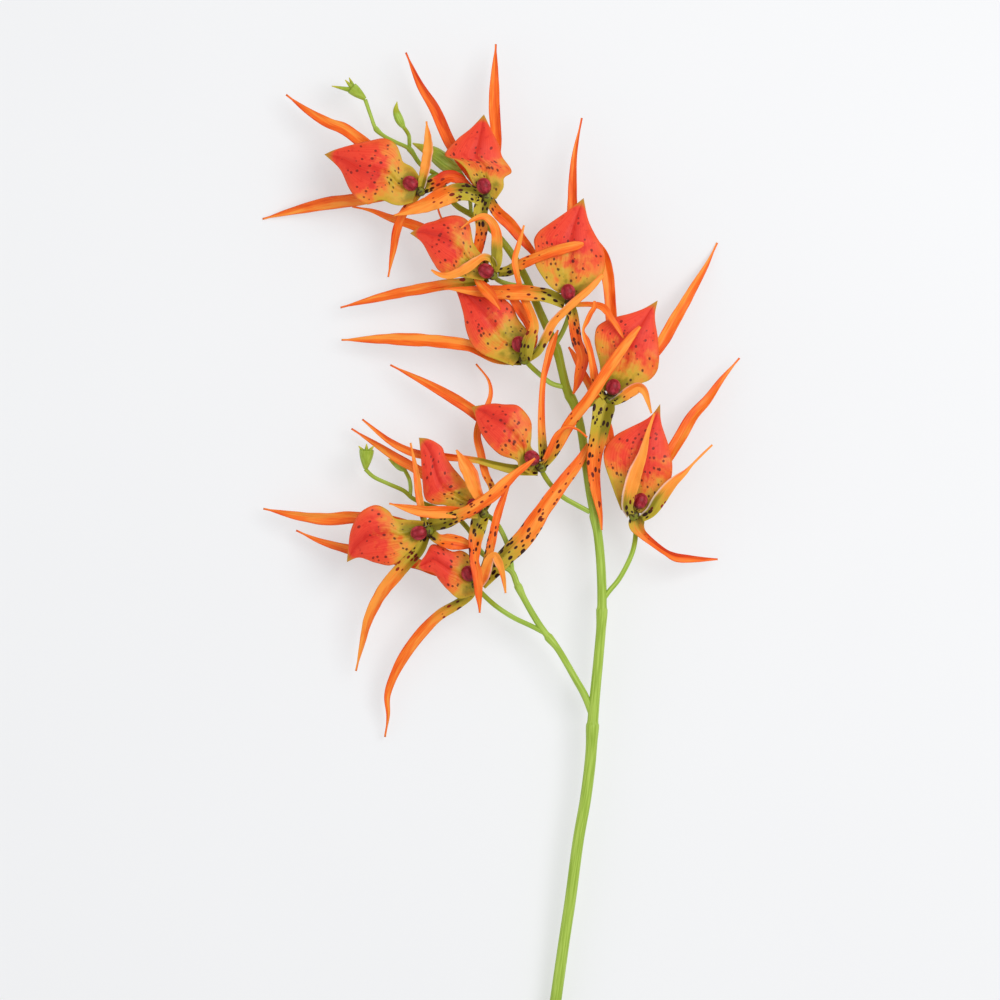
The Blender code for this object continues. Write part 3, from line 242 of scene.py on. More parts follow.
BLOOMS["k"] = bloom(
    (475, 585, 34), (468.8, 573.5, 40), (36, 38, 37),
    [(474, 595), (459, 598.5), (448.5, 590.5), (440, 581), (434, 573.5), (424, 570.5), (415, 568)],
    [(477, 573), (470, 556), (461, 550.5), (453, 551.5), (442, 546.5), (432, 544.5), (425, 555.5),
     (415, 568)],
    (7, 0.55, [(472, 583, 31), (452, 577, 28.5), (434, 570, 27), (418, 564, 25.5), (382, 556.5, 21.5),
     (347.6, 549, 18), (319, 541, 14), (295.5, 530.5, 9.5)]),
    (7, 0.4, [(474, 588, 31), (470, 595, 30), (457, 604.5, 28), (439, 615, 26), (418.5, 636, 22),
     (397.5, 667.5, 16.5), (387, 695.5, 12), (387.7, 716.4, 9), (384.5, 738, 5)]),
    (0, 0, [(481, 585, 35, 7), (490, 573.5, 36, 9.4), (505, 556.5, 36, 11), (524.5, 537, 35, 11.6),
     (543, 509, 34, 10), (561.5, 484.3, 32, 8.2), (580.5, 459, 30, 5.8), (588, 443.5, 29, 1.4)]),
    (0, 0, [(479, 586, 36, 4), (483.5, 577, 40, 6.6), (486.5, 567, 43, 6.8), (490, 558.5, 45, 5.4),
     (494.5, 555, 46, 4.4), (498, 560.5, 46.2, 5.6), (501, 568, 45, 4), (503.5, 578, 43, 2.9),
     (505.6, 593, 40, 1)]),
    (0, 0, [(477, 582, 37, 4), (483, 571, 38, 4.8), (487.5, 558, 38.5, 5.4), (491.5, 541, 38.5, 5.4),
     (495, 524, 38.5, 5.2), (500, 507, 38, 4.6), (511, 479, 37, 1)]),
)

# Stems: (layout x, layout y, height in mm, radius in mm)
MAIN_STEM = [
    (541, 1116, 3.6, 4.6), (542, 1100, 3.4, 4), (545, 1080, 4.6, 3.7), (549, 1050, 8, 3.6),
    (556, 1000, 12.5, 3.5), (564.5, 940, 15.5, 3.4), (570.5, 900, 17, 3.4), (578.5, 840, 18.5, 3.4),
    (585.5, 800, 19.5, 3.4), (590.5, 760, 20, 3.4), (593, 720, 21, 3.3), (595.5, 690, 21.5, 3.1),
    (598.6, 658, 21.5, 3), (601.8, 616, 22, 2.9), (601.4, 574, 22.5, 2.8), (597.9, 534, 22.5, 2.7),
    (590, 492, 22.5, 2.6), (586, 464, 22, 2.6), (581, 429, 22, 2.6), (574.5, 405, 21.5, 2.7),
    (567.5, 391, 21.5, 2.7), (562.2, 371, 21, 2.6), (557, 350, 21, 2.6), (546, 325, 20.5, 2.5),
    (538, 307, 20.5, 2.4), (525.5, 277, 20.5, 2.3), (507, 247, 21, 2.2), (490, 228, 21.5, 2),
    (474, 216, 22, 1.9), (455, 204, 22.5, 1.7), (446, 190, 23, 1.5), (440, 177, 23, 1.4),
    (431, 171, 23, 1.4), (420, 163.5, 23, 1.4), (409, 148.5, 23, 1.3), (395, 141.5, 23, 1.2),
    (383, 135, 23, 1.2), (375.5, 128, 23, 1.2), (371, 116.5, 22.5, 1.1), (365, 99, 22, 1.2),
]
SIDE_STEM = [
    (593, 716, 21, 2.3), (585, 696, 21, 2.2), (576, 680, 21.5, 2.1), (557.5, 648.5, 22, 2),
    (547.5, 636, 22, 2), (538.5, 623.5, 22, 2), (525, 600.5, 22.5, 1.9), (517, 584, 22.5, 1.9),
    (511.5, 571.5, 22.5, 1.8), (497, 563.5, 22, 1.7), (481, 552, 21, 1.6), (471, 533, 20.5, 1.5),
    (462, 522, 20.5, 1.5), (455, 515, 20.5, 1.4), (440, 509, 20.5, 1.4), (425, 504, 20.5, 1.4),
    (412, 498, 20.5, 1.3), (404, 491, 20.5, 1.3), (387.5, 483.5, 21, 1.2), (373, 476.5, 22, 1.2),
    (365, 469, 23, 1.2),
]
# The swollen joints, on the stem and its side branch: (layout x, layout y, height, radius)
JOINTS = [
    (592, 725, 20.9, 4), (602, 610, 22.1, 3.5), (594.5, 515, 22.5, 3.3), (569.5, 394, 21.5, 3.2),
    (556, 346, 20.9, 3), (548, 636.5, 22, 2.7), (518, 586, 22.5, 2.5), (408.5, 148.5, 23, 1.8),
    (375.5, 129, 23, 1.7),
]
# Pedicels from the stem to a bloom's hub. Each ends upright under the hub.
PEDICELS = {
    "a": [(436, 174, 23), (430, 178, 23.5), (423, 185, 25.5)],
    "b": [(472, 215, 22), (480, 210, 23.5), (486, 202, 28)],
    "c": [(529, 286, 20.5), (514, 285, 22.5), (500, 281, 25)],
    "d": [(555, 345, 21), (563, 331, 22), (569, 315, 25)],
    "e": [(567, 387.5, 21.5), (552, 383.5, 22.5), (540.5, 375, 24), (529.5, 365, 26.5)],
    "f": [(577, 410, 21.5), (586, 406, 25.5), (599, 401, 28.5)],
    "g": [(590, 512, 22.5), (575, 504, 22.5), (563, 497, 23.5), (551, 485, 24.5), (543, 473, 26)],
    "h": [(602, 602, 22), (608, 593, 22), (620, 578, 22.5), (633, 551, 23), (636, 530, 25)],
    "i": [(442, 509, 20.5), (436, 518, 23), (430, 527, 27)],
    "j": [(512, 571, 22.5), (510, 555, 22.5), (506, 541, 23.5), (497, 524, 25), (487, 515, 27)],
    "k": [(549, 635.5, 22), (532, 626.5, 22), (514, 618, 22), (497, 607, 22.5), (483.5, 595, 24)],
}
# Buds: (pedicel route, bud route, the bud's greatest radius in mm)
BUDS = [
    ([(409, 149, 23), (409.3, 142, 23.5), (408.5, 134.5, 24.5), (403, 126, 25.5)],
     [(403.5, 127, 25.5), (399, 119, 26.5), (396, 110, 27), (397, 101.5, 27)], 2.6),
    ([(471, 213, 22), (470, 200, 23), (466, 182, 25), (459, 170, 26.5)],
     [(461, 171, 26.5), (448, 164.5, 28), (434, 153.5, 28), (412.5, 143, 27)], 5),
    ([(410, 495, 20.5), (410.5, 488, 19.5), (409, 479, 18), (404, 469, 16)],
     [(405, 470, 16), (398, 464, 15), (388, 459, 14.5)], 2.9),
]
# Open calyces at the two stem ends: (base, mouth, mouth radius in mm, prong tips)
CALYCES = [
    ((365, 98.5, 22), (351.5, 87.5, 22.5), 3.6, [(331.5, 85.5, 22), (345, 79.5, 24), (349, 77, 20)]),
    ((365.5, 469, 23), (366.5, 450, 24), 4.4, [(358.5, 446, 24), (366.5, 444, 27), (373.5, 446, 24)]),
]

# How far up a tepal its green and its spots reach, as shares of its length, and how deep its
# orange is (0 light, 1 deep). LOOKS has the tepals that differ from the usual five, by their
# place in their bloom. A hub is green all over, and its depth of 2 paints it dark olive with a
# dark mottle, painted shade of the hollow round its column.
HUB_LOOK = (1.6, 0.01, 2.0)
USUAL_LOOKS = [
    (0.14, 0.1, 0.35), (0.14, 0.1, 0.35), (0.26, 0.42, 0.35), (0.22, 0.2, 0.25), (0.22, 0.2, 0.3),
]
# A depth below 0 gives a tepal a painted highlight along one edge.
LOOKS = {
    "a": {0: (0.1, 0.06, 0.45), 2: (0.22, 0.3, 0.9), 3: (0.24, 0.02, -0.25), 4: (0.12, 0.2, 0.45)},
    "b": {0: (0.1, 0.05, 0.85), 1: (0.12, 0.05, 0.5), 2: (0.36, 0.38, 0.0), 3: (0.26, 0.4, 0.4),
        4: (0.1, 0.14, 0.6)},
    "c": {1: (0.26, 0.14, 0.45), 2: (0.3, 0.04, -0.12), 3: (0.36, 0.06, 0.0), 4: (0.24, 0.32, 0.25)},
    "d": {0: (0.1, 0.05, 0.6), 2: (0.28, 0.36, 0.25), 3: (0.18, 0.5, 0.75), 4: (0.1, 0.08, 0.35)},
    "e": {0: (0.12, 0.05, 0.2), 2: (0.3, 0.3, -0.15), 3: (0.26, 0.22, 0.0), 4: (0.14, 0.08, 0.6)},
    "f": {0: (0.1, 0.05, 0.3), 2: (0.36, 0.76, 0.4), 3: (0.26, 0.34, -0.15), 4: (0.16, 0.2, 0.35)},
    "g": {0: (0.12, 0.05, 0.5), 1: (0.38, 0.04, 0.45), 2: (0.14, 0.3, 0.2), 3: (0.12, 0.1, 0.5),
        4: (0.24, 0.22, 0.4)},
    "h": {0: (0.1, 0.05, 0.35), 2: (0.16, 0.16, 0.75), 3: (0.26, 0.2, -0.25), 4: (0.36, 0.2, -0.25)},
    "i": {0: (0.12, 0.05, 0.3), 1: (0.3, 0.2, 0.0), 2: (0.3, 0.48, 0.25), 3: (0.25, 0.14, 0.05),
        4: (0.22, 0.45, 0.35)},
    "j": {0: (0.1, 0.05, 0.4), 1: (0.2, 0.2, 0.3), 2: (0.26, 0.56, 0.5), 3: (0.14, 0.05, 0.1),
        4: (0.1, 0.05, -0.1)},
    "k": {0: (0.1, 0.05, 0.45), 1: (0.24, 0.18, 0.35), 2: (0.34, 0.62, 0.2), 3: (0.06, 0.04, -0.2),
        4: (0.3, 0.6, 0.5)},
}

# Points of each fine mesh: along its length, then across or round it
BLADE_GRID, LIP_GRID = (64, 11), (48, 33)
HUB_GRID, COLUMN_GRID = (20, 28), (26, 36)
STEM_GRID, BRANCH_GRID, PEDICEL_GRID = (420, 28), (190, 22), (48, 16)
TWIG_GRID, BUD_GRID, CALYX_GRID, PRONG_GRID = (24, 18), (40, 24), (16, 18), (18, 14)
CALYX_DEPTH_ROWS = 12

# Fine sizes in millimetres
BLADE_THICKNESS, BLADE_EDGE, BLADE_TIP_WIDTH = 0.8, 0.3, 1.2
LIP_THICKNESS, LIP_EDGE, LIP_CROWN, LIP_CREASE = 0.9, 0.35, 2.4, 1.1
LIP_CALLUS, LIP_CUP, LIP_WAVE, LIP_RIPPLE, LIP_PLEAT = 1.0, 2.6, 0.9, 0.4, 0.05
PEDICEL_RADIUS, PEDICEL_FLARE = 1.5, 0.9
TWIG_RADIUS, BUD_TIP_RADIUS, CALYX_WALL = 1.2, 0.35, 0.7
PRONG_RADIUS, PRONG_TAPER = 1.9, 1.6
# Half sizes along, across and up
HUB_SIZE, COLUMN_SIZE = (3.7, 3.2, 2.8), (5.0, 4.4, 4.4)
# How far under its hub a pedicel turns upright, and ends
PEDICEL_TURN, PEDICEL_END = 6.0, 3.0
# How far from a stem a joint of its own lies at most
JOINT_DISTANCE = 2.5

# A blade's root is a share of its width, its channel and ripple of half its width. Twist and
# waver are turns in radians, and the softness rounds the bottom of the channel.
BLADE_ROOT_SHARE, BLADE_POINT_POWER = 0.72, 1.7
BLADE_CHANNEL, BLADE_CHANNEL_FADE, BLADE_SOFTNESS = 0.75, 0.6, 0.012
BLADE_TWIST, BLADE_WAVER, BLADE_RIPPLE, BLADE_RIPPLE_PACE = 0.35, 0.12, 0.10, 2.3

# The widths of a joint's swelling past its middle and before it, in its radii
JOINT_AFTER, JOINT_BEFORE = 0.35, 2.0

# How deep the ribs are, as shares of the radius
STEM_RIBS, PEDICEL_RIBS, BUD_RIBS = 0.012, 0.02, 0.03

# Each lamp: its place from the middle of the view and its size in metres, and its power in watts.
# The floor gives off a little light by itself, which keeps the shadows on it light.
KEY_LIGHT = ((0.9, 0.5, 1.7), 1.3, 20.0)
FILL_LIGHT = ((-1.6, -0.4, 1.6), 2.4, 7.0)
SKY_COLOUR, SKY_STRENGTH = (0.96, 0.985, 1.0, 1.0), 0.56
FLOOR_GLOW = 0.43

# In metres: nothing of the spray reaches below LOWEST, and the floor lies just under it
LOWEST, FLOOR_DROP, FLOOR_HALF = 0.0001, 0.0002, 6.0

TURN = 2.0 * np.pi
UP = np.array([0.0, 0.0, 1.0])
ROUTE_SAMPLES = 60


def srgb(red, green, blue):
    """A colour given as 0 to 255 steps, in the linear values that a shader takes."""
    steps = [part / 255.0 for part in (red, green, blue)]
    line = [part / 12.92 if part < 0.04045 else ((part + 0.055) / 1.055) ** 2.4 for part in steps]
    return (*line, 1.0)


def place(spot):
    """The point in metres of a layout spot (x, y, height in mm)."""
    x, y, height = spot[:3]
    return np.array([(x - REST_X) * LAYOUT_STEP, (REST_Y - y) * LAYOUT_STEP, height]) * MM


def travel(points):
    """The distance along a line of points, from its first point to each."""
    return np.concatenate([[0.0], np.cumsum(np.linalg.norm(np.diff(points[:, :3], axis=0), axis=1))])


def smooth_route(points, count):
    """count points, evenly spaced, on a smooth curve through the given rows of numbers."""
    points = np.asarray(points, float)
    gaps = np.linalg.norm(np.diff(points[:, :3], axis=0), axis=1) ** 0.5
    knots = np.concatenate([[0.0], np.cumsum(gaps)])
    slopes = np.gradient(points, knots, axis=0)
    fine = np.linspace(0.0, knots[-1], ROUTE_SAMPLES * len(points))
    span = np.clip(np.searchsorted(knots, fine, side="right") - 1, 0, len(knots) - 2)
    width = (knots[span + 1] - knots[span])[:, None]
    t = (fine - knots[span])[:, None] / width
    start, end = points[span], points[span + 1]
    curve = (
        (2 * t**3 - 3 * t**2 + 1) * start
        + (t**3 - 2 * t**2 + t) * width * slopes[span]
        + (3 * t**2 - 2 * t**3) * end
        + (t**3 - t**2) * width * slopes[span + 1]
    )
    length = travel(curve)
    wanted = np.linspace(0.0, length[-1], count)
    return np.column_stack([np.interp(wanted, length, part) for part in curve.T])


def unit(vectors):
    """Rows of vectors, each made one long."""
    return vectors / np.linalg.norm(vectors, axis=1)[:, None]


def grid(*three):
    """Three values for every point of a body, each spread over its rows and columns."""
    return np.stack(np.broadcast_arrays(*three), axis=-1)


def round_trip(upper, lower):
    """Rows that run across upper from edge to edge, and then back across lower."""
    return np.concatenate([upper, lower[:, ::-1]], axis=1)


def spans(rows, columns):
    """The way along a surface, from 0 to 1 for each row, and across it, from -1 to 1."""
    return np.linspace(0.0, 1.0, rows)[:, None], np.linspace(-1.0, 1.0, columns)


def bell(values, middle, width):
    """1 at the middle, falling softly to nothing a few widths away from it."""
    return np.exp(-(((values - middle) / width) ** 2))


class Body:
    """Collects the rings of one piece, with what its material reads at each point."""

    def __init__(self):
        self.verts, self.faces = [], []
        self.facts = {"lay": [], "share": [], "look": []}

    def loft(self, rings, lay, share, look):
        """Adds one closed body through rings of points, with a lid on both its ends."""
        rings[..., 2] = np.maximum(rings[..., 2], LOWEST)
        count, around = rings.shape[:2]
        first = len(self.verts)
        self.verts.extend(rings.reshape(-1, 3).tolist())
        for row in range(count - 1):
            low, high = first + row * around, first + (row + 1) * around
            for at in range(around):
                after = (at + 1) % around
                self.faces.append((low + at, low + after, high + after, high + at))
        self.faces.append(tuple(first + at for at in reversed(range(around))))
        self.faces.append(tuple(first + (count - 1) * around + at for at in range(around)))
        for name, values in (("lay", lay), ("share", share), ("look", look)):
            self.facts[name].append(np.broadcast_to(values, (count, around, 3)).reshape(-1, 3))

    def sheet(self, top, lift, thickness, lay, along, across, look):
        """Adds a thin sheet, given by its middle surface and the way up at each point of it."""
        half = 0.5 * thickness[..., None] * lift
        share = round_trip(grid(along, across, 1.0), grid(along, across, 0.0))
        self.loft(round_trip(top + half, top - half), round_trip(lay, lay), share, look)

    def piece(self, finish, node):
        """Makes the collected bodies one smooth piece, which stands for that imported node."""
        name = f"{node}_fine"
        mesh = bpy.data.meshes.new(name)
        mesh.from_pydata(self.verts, [], self.faces)
        for fact, values in self.facts.items():
            layer = mesh.attributes.new(fact, "FLOAT_VECTOR", "POINT")
            layer.data.foreach_set("vector", np.concatenate(values).astype(np.float32).ravel())
        bm = bmesh.new()
        bm.from_mesh(mesh)
        bmesh.ops.recalc_face_normals(bm, faces=bm.faces)
        bm.to_mesh(mesh)
        bm.free()
        mesh.shade_smooth()
        mesh.materials.append(finish)
        made = bpy.data.objects.new(name, mesh)
        bpy.context.scene.collection.objects.link(made)
        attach(made, "root")
        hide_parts(node)


def tepal(body, width, widest, route, look, seed):
    """A long blade along its route: channelled along its middle, waved at its edges, thin-edged."""
    stations, columns = BLADE_GRID
    rows = smooth_route([(*place(spot), *spot[3:]) for spot in route], stations)
    centre, widths = rows[:, :3], rows[:, 3:]
    along, across = spans(stations, columns)
    if width:
        rise = np.clip(along / widest, 0.0, 1.0)
        fall = np.clip((along - widest) / (1.0 - widest), 0.0, 1.0)
        swell = BLADE_ROOT_SHARE + (1.0 - BLADE_ROOT_SHARE) * np.sin(0.5 * np.pi * rise)
        widths = width * np.where(along < widest, swell, 1.0 - fall**BLADE_POINT_POWER)
    half = 0.5 * MM * np.maximum(widths, BLADE_TIP_WIDTH)

    ahead = unit(np.gradient(centre, axis=0))
    side = unit(np.column_stack([ahead[:, 1], -ahead[:, 0], np.zeros(stations)]))
    lift = np.cross(side, ahead)

    draw = np.random.default_rng(seed)
    waves, start = draw.uniform(2.0, 4.0), draw.uniform(0.0, 6.28)
    twist = draw.uniform(-BLADE_TWIST, BLADE_TWIST)
    # The blade's half on this side, drawn at random, is painted in shade by its finish.
    shaded_side = 1.0 if draw.uniform() < 0.5 else -1.0
    roll = twist * np.sin(np.pi * along) + BLADE_WAVER * np.sin(TURN * along * waves + start)
    turned_side = side * np.cos(roll) + lift * np.sin(roll)
    turned_lift = lift * np.cos(roll) - side * np.sin(roll)

    channel = BLADE_CHANNEL * half * (1.0 - BLADE_CHANNEL_FADE * along)
    fold = np.sqrt(across**2 + BLADE_SOFTNESS) - np.sqrt(BLADE_SOFTNESS)
    phase = TURN * along * waves * BLADE_RIPPLE_PACE + start + 1.5 * across
    height = channel * fold + BLADE_RIPPLE * np.sin(phase) * half * across**2
    top = (
        centre[:, None]
        + turned_side[:, None] * (half * across)[..., None]
        + turned_lift[:, None] * (height - 0.5 * channel)[..., None]
    )
    thin = BLADE_EDGE + (BLADE_THICKNESS - BLADE_EDGE) * (1.0 - across**2)
    thickness = MM * thin * (1.0 - 0.5 * along)
    lay = grid(travel(centre)[:, None] / MM, half / MM * across, 37.0 * seed % 401.0)
    body.sheet(top, turned_lift[:, None], thickness, lay, along, shaded_side * across, look)


def egg(body, centre, heading, radii, counts, look):
    """An ellipsoid with its long axis along heading, and its poles at its two ends."""
    rows, around = counts
    polar = np.linspace(0.0, np.pi, rows + 2)[1:-1, None]
    spin = np.linspace(0.0, TURN, around, endpoint=False)
    long, wide, high = np.array(radii) * MM
    x = -np.cos(polar) * long * np.ones(around)
    y = np.sin(polar) * np.cos(spin) * wide
    z = np.sin(polar) * np.sin(spin) * high
    c, s = math.cos(heading), math.sin(heading)
    rings = grid(x * c - y * s, x * s + y * c, z) + centre
    body.loft(rings, grid(x, y, z) / MM, grid(polar / np.pi, np.sin(spin), 1.0), look)


def heading_of(parts):
    """The way from a bloom's hub to its column, as an angle in plan."""
    x, y = (place(parts["column"]) - place(parts["hub"]))[:2]
    return math.atan2(y, x)


def bloom_tepals(letter, parts, finish, seed):
    """A bloom's hub with its five long tepals."""
    body = Body()
    egg(body, place(parts["hub"]), heading_of(parts), HUB_SIZE, HUB_GRID, HUB_LOOK)
    for index, (width, widest, route) in enumerate(parts["tepals"]):
        look = LOOKS[letter].get(index, USUAL_LOOKS[index])
        tepal(body, width, widest, route, look, seed + index)
    body.piece(finish, f"bloom_{letter}_tepals")


def bloom_lip(letter, parts, finish, seed):
    """A broad pointed lip between its two edges: cupped at its throat, creased along its middle."""
    rows, columns = LIP_GRID
    edges = [[place((*spot, 0.0)) for spot in edge] for edge in parts["edges"]]
    left, right = [smooth_route(edge, rows) for edge in edges]
    along, across = spans(rows, columns)
    to_right = (0.5 + 0.5 * across)[:, None]
    top = left[:, None] * (1.0 - to_right) + right[:, None] * to_right
    centre = top[:, columns // 2].copy()

    draw = np.random.default_rng(seed)
    start, lean = draw.uniform(0.0, 6.28), draw.uniform(-0.5, 0.5)
    root, middle, tip = parts["lip"]
    ends = np.where(along < 0.5, root, tip)
    level = ends + (middle - ends) * np.sin(np.pi * along)
    swell = np.sin(np.pi * along) ** 2
    out = np.abs(across)
    crown = LIP_CROWN * (1.0 - across**2) * swell - 0.5 * LIP_CROWN
    crease = LIP_CREASE * bell(across, 0.0, 0.10) * np.sin(np.pi * along**0.8)
    callus = LIP_CALLUS * bell(out, 0.20, 0.09) * bell(along, 0.22, 0.14)
    cup = LIP_CUP * across**2 * np.clip(1.0 - along / 0.32, 0.0, 1.0)
    wave = LIP_WAVE * out**3 * np.sin(5.0 * np.pi * along + start + 2.0 * across)
    wave += LIP_RIPPLE * out**5 * np.sin(13.0 * np.pi * along + 2.0 * start - across)
    wave += LIP_PLEAT * np.cos(13.0 * np.pi * across) + lean * across
    top[..., 2] = (level + crown - crease + callus + cup + wave * swell) * MM

    lift = np.cross(np.gradient(top, axis=1), np.gradient(top, axis=0))
    size = np.linalg.norm(lift, axis=2, keepdims=True)
    smallest = 1e-14
    lift = np.where(size > smallest, lift / np.maximum(size, smallest), UP)
    lift *= np.where(lift[..., 2:] < 0.0, -1.0, 1.0)
    thin = LIP_EDGE + (LIP_THICKNESS - LIP_EDGE) * (1.0 - across**4)
    thickness = MM * thin * (1.0 - 0.4 * along)
    half = 0.5 * np.linalg.norm(right - left, axis=1)[:, None] / MM
    lay = grid(travel(centre)[:, None] / MM, half * across, 53.0 * seed % 397.0)
    body = Body()
    body.sheet(top, lift, thickness, lay, along, across, (0.0, 0.0, 0.0))
    body.piece(finish, f"bloom_{letter}_lip")


def bloom_column(letter, parts, finish):
    """The round column in a bloom's middle."""
    body = Body()
    egg(body, place(parts["column"]), heading_of(parts), COLUMN_SIZE, COLUMN_GRID, (0.0, 0.0, 0.0))
    body.piece(finish, f"bloom_{letter}_column")


def tube(body, points, radii, look, seed, around, ribs=0.0):
    """A ribbed tube with its radii in mm. Its look is how olive it is, and how yellow its end."""
    ahead = unit(np.gradient(points, axis=0))
    side = np.cross(ahead, UP)
    side[np.linalg.norm(side, axis=1) < 0.05] = (1.0, 0.0, 0.0)
    for row in range(1, len(side)):
        if np.dot(side[row], side[row - 1]) < 0.0:
            side[row] *= -1.0
    side = unit(side - ahead * np.sum(side * ahead, axis=1)[:, None])
    lift = np.cross(side, ahead)
    spin = np.linspace(0.0, TURN, around, endpoint=False)
    reach = radii[:, None] * MM * (1.0 + ribs * np.cos(5.0 * spin + seed))
    rings = (
        points[:, None]
        + side[:, None] * (reach * np.cos(spin))[..., None]
        + lift[:, None] * (reach * np.sin(spin))[..., None]
    )
    reach = reach / MM
    lay = grid(travel(points)[:, None] / MM, reach * np.sin(spin), reach * np.cos(spin) + seed)
    along = np.linspace(0.0, 1.0, len(points))[:, None]
    body.loft(rings, lay, grid(along, np.sin(spin), 1.0), look)


def tapered(route, count):
    """Even points and their radii through (layout x, layout y, height, radius) rows."""
    rows = smooth_route([(*place(spot), spot[3]) for spot in route], count)
    return rows[:, :3], rows[:, 3]


def swell_joints(points, radii):
    """Swells a stem's radii round each joint, with a sharper shoulder above it."""
    distance = travel(points) / MM
    for x, y, height, radius in JOINTS:
        away = np.linalg.norm(points[:, :2] - place((x, y, height))[:2], axis=1) / MM
        nearest = int(np.argmin(away))
        if away[nearest] > JOINT_DISTANCE:
            continue
        offset = distance - distance[nearest]
        reach = np.where(offset > 0.0, JOINT_AFTER, JOINT_BEFORE) * radius
        radii += np.maximum((radius - radii[nearest]) * bell(offset, 0.0, reach), 0.0)


def bud(body, pedicel, route, radius, seed):
    """A closed bud on its own pedicel: a pointed body grooved where its sepals meet."""
    count, around = TWIG_GRID
    points, radii = tapered([(*spot, TWIG_RADIUS) for spot in pedicel], count)
    tube(body, points, radii, (0.2, 0.0, 0.0), seed, around)
    count, around = BUD_GRID
    points = smooth_route([place(spot) for spot in route], count)
    radii = radius * np.sin(np.pi * np.linspace(0.10, 0.97, count) ** 0.8)
    tube(body, points, np.maximum(radii, BUD_TIP_RADIUS), (0.0, 0.7, 0.0), seed, around, BUD_RIBS)


def calyx(body, base, mouth, radius, prongs, seed):
    """An open calyx: a flared cup with a pointed lobe for each prong round its mouth."""
    start, end = place(base), place(mouth)
    count, around = CALYX_GRID
    way = np.linspace(0.0, 1.0, count)
    way = np.concatenate([way, way[::-1][:CALYX_DEPTH_ROWS]])
    radii = TWIG_RADIUS + (radius - TWIG_RADIUS) * np.sin(0.5 * np.pi * way)
    radii[count:] -= CALYX_WALL
    tube(body, start + (end - start) * way[:, None], radii, (0.5, 0.0, 0.0), seed, around)
    root = start + (end - start) * 0.75
    count, around = PRONG_GRID
    way = np.linspace(0.0, 1.0, count)
    for tip in prongs:
        centre = root + (place(tip) - root) * way[:, None]
        tube(body, centre, PRONG_RADIUS - PRONG_TAPER * way**1.2, (0.5, 1.0, 0.0), seed, around)


def grown_stem(finish):
    """The stem, its side branch, pedicels, buds and calyces as one piece."""
    body = Body()
    for index, (route, counts) in enumerate(((MAIN_STEM, STEM_GRID), (SIDE_STEM, BRANCH_GRID))):
        points, radii = tapered(route, counts[0])
        swell_joints(points, radii)
        tube(body, points, radii, (0.1 * index, 0.0, 0.0), index, counts[1], STEM_RIBS)
    count, around = PEDICEL_GRID
    for index, (letter, route) in enumerate(PEDICELS.items()):
        x, y, height = BLOOMS[letter]["hub"]
        rows = [(*spot, PEDICEL_RADIUS) for spot in route]
        rows.append((x, y, height - PEDICEL_TURN, PEDICEL_RADIUS))
        rows.append((x, y, height - PEDICEL_END, PEDICEL_RADIUS + PEDICEL_FLARE))
        points, radii = tapered(rows, count)
        tube(body, points, radii, (0.12, 0.0, 0.0), 2.0 + index, around, PEDICEL_RIBS)
    for index, (pedicel, route, radius) in enumerate(BUDS):
        bud(body, pedicel, route, radius, 20.0 + index)
    for index, (base, mouth, radius, prongs) in enumerate(CALYCES):
        calyx(body, base, mouth, radius, prongs, 30.0 + index)
    body.piece(finish, "stem")


def reckoning(operation):
    """A method that adds a Math node for the operation between a value and another one."""
    return lambda value, other=0.0: value.owner.reckon(operation, value, other)


class Value:
    """One number of a material at each point. Reckoning with it adds nodes to the material."""

    def __init__(self, owner, socket):
        self.owner, self.socket = owner, socket

    __add__, __sub__ = reckoning("ADD"), reckoning("SUBTRACT")
    __mul__, __truediv__ = reckoning("MULTIPLY"), reckoning("DIVIDE")
    __pow__, __abs__ = reckoning("POWER"), reckoning("ABSOLUTE")


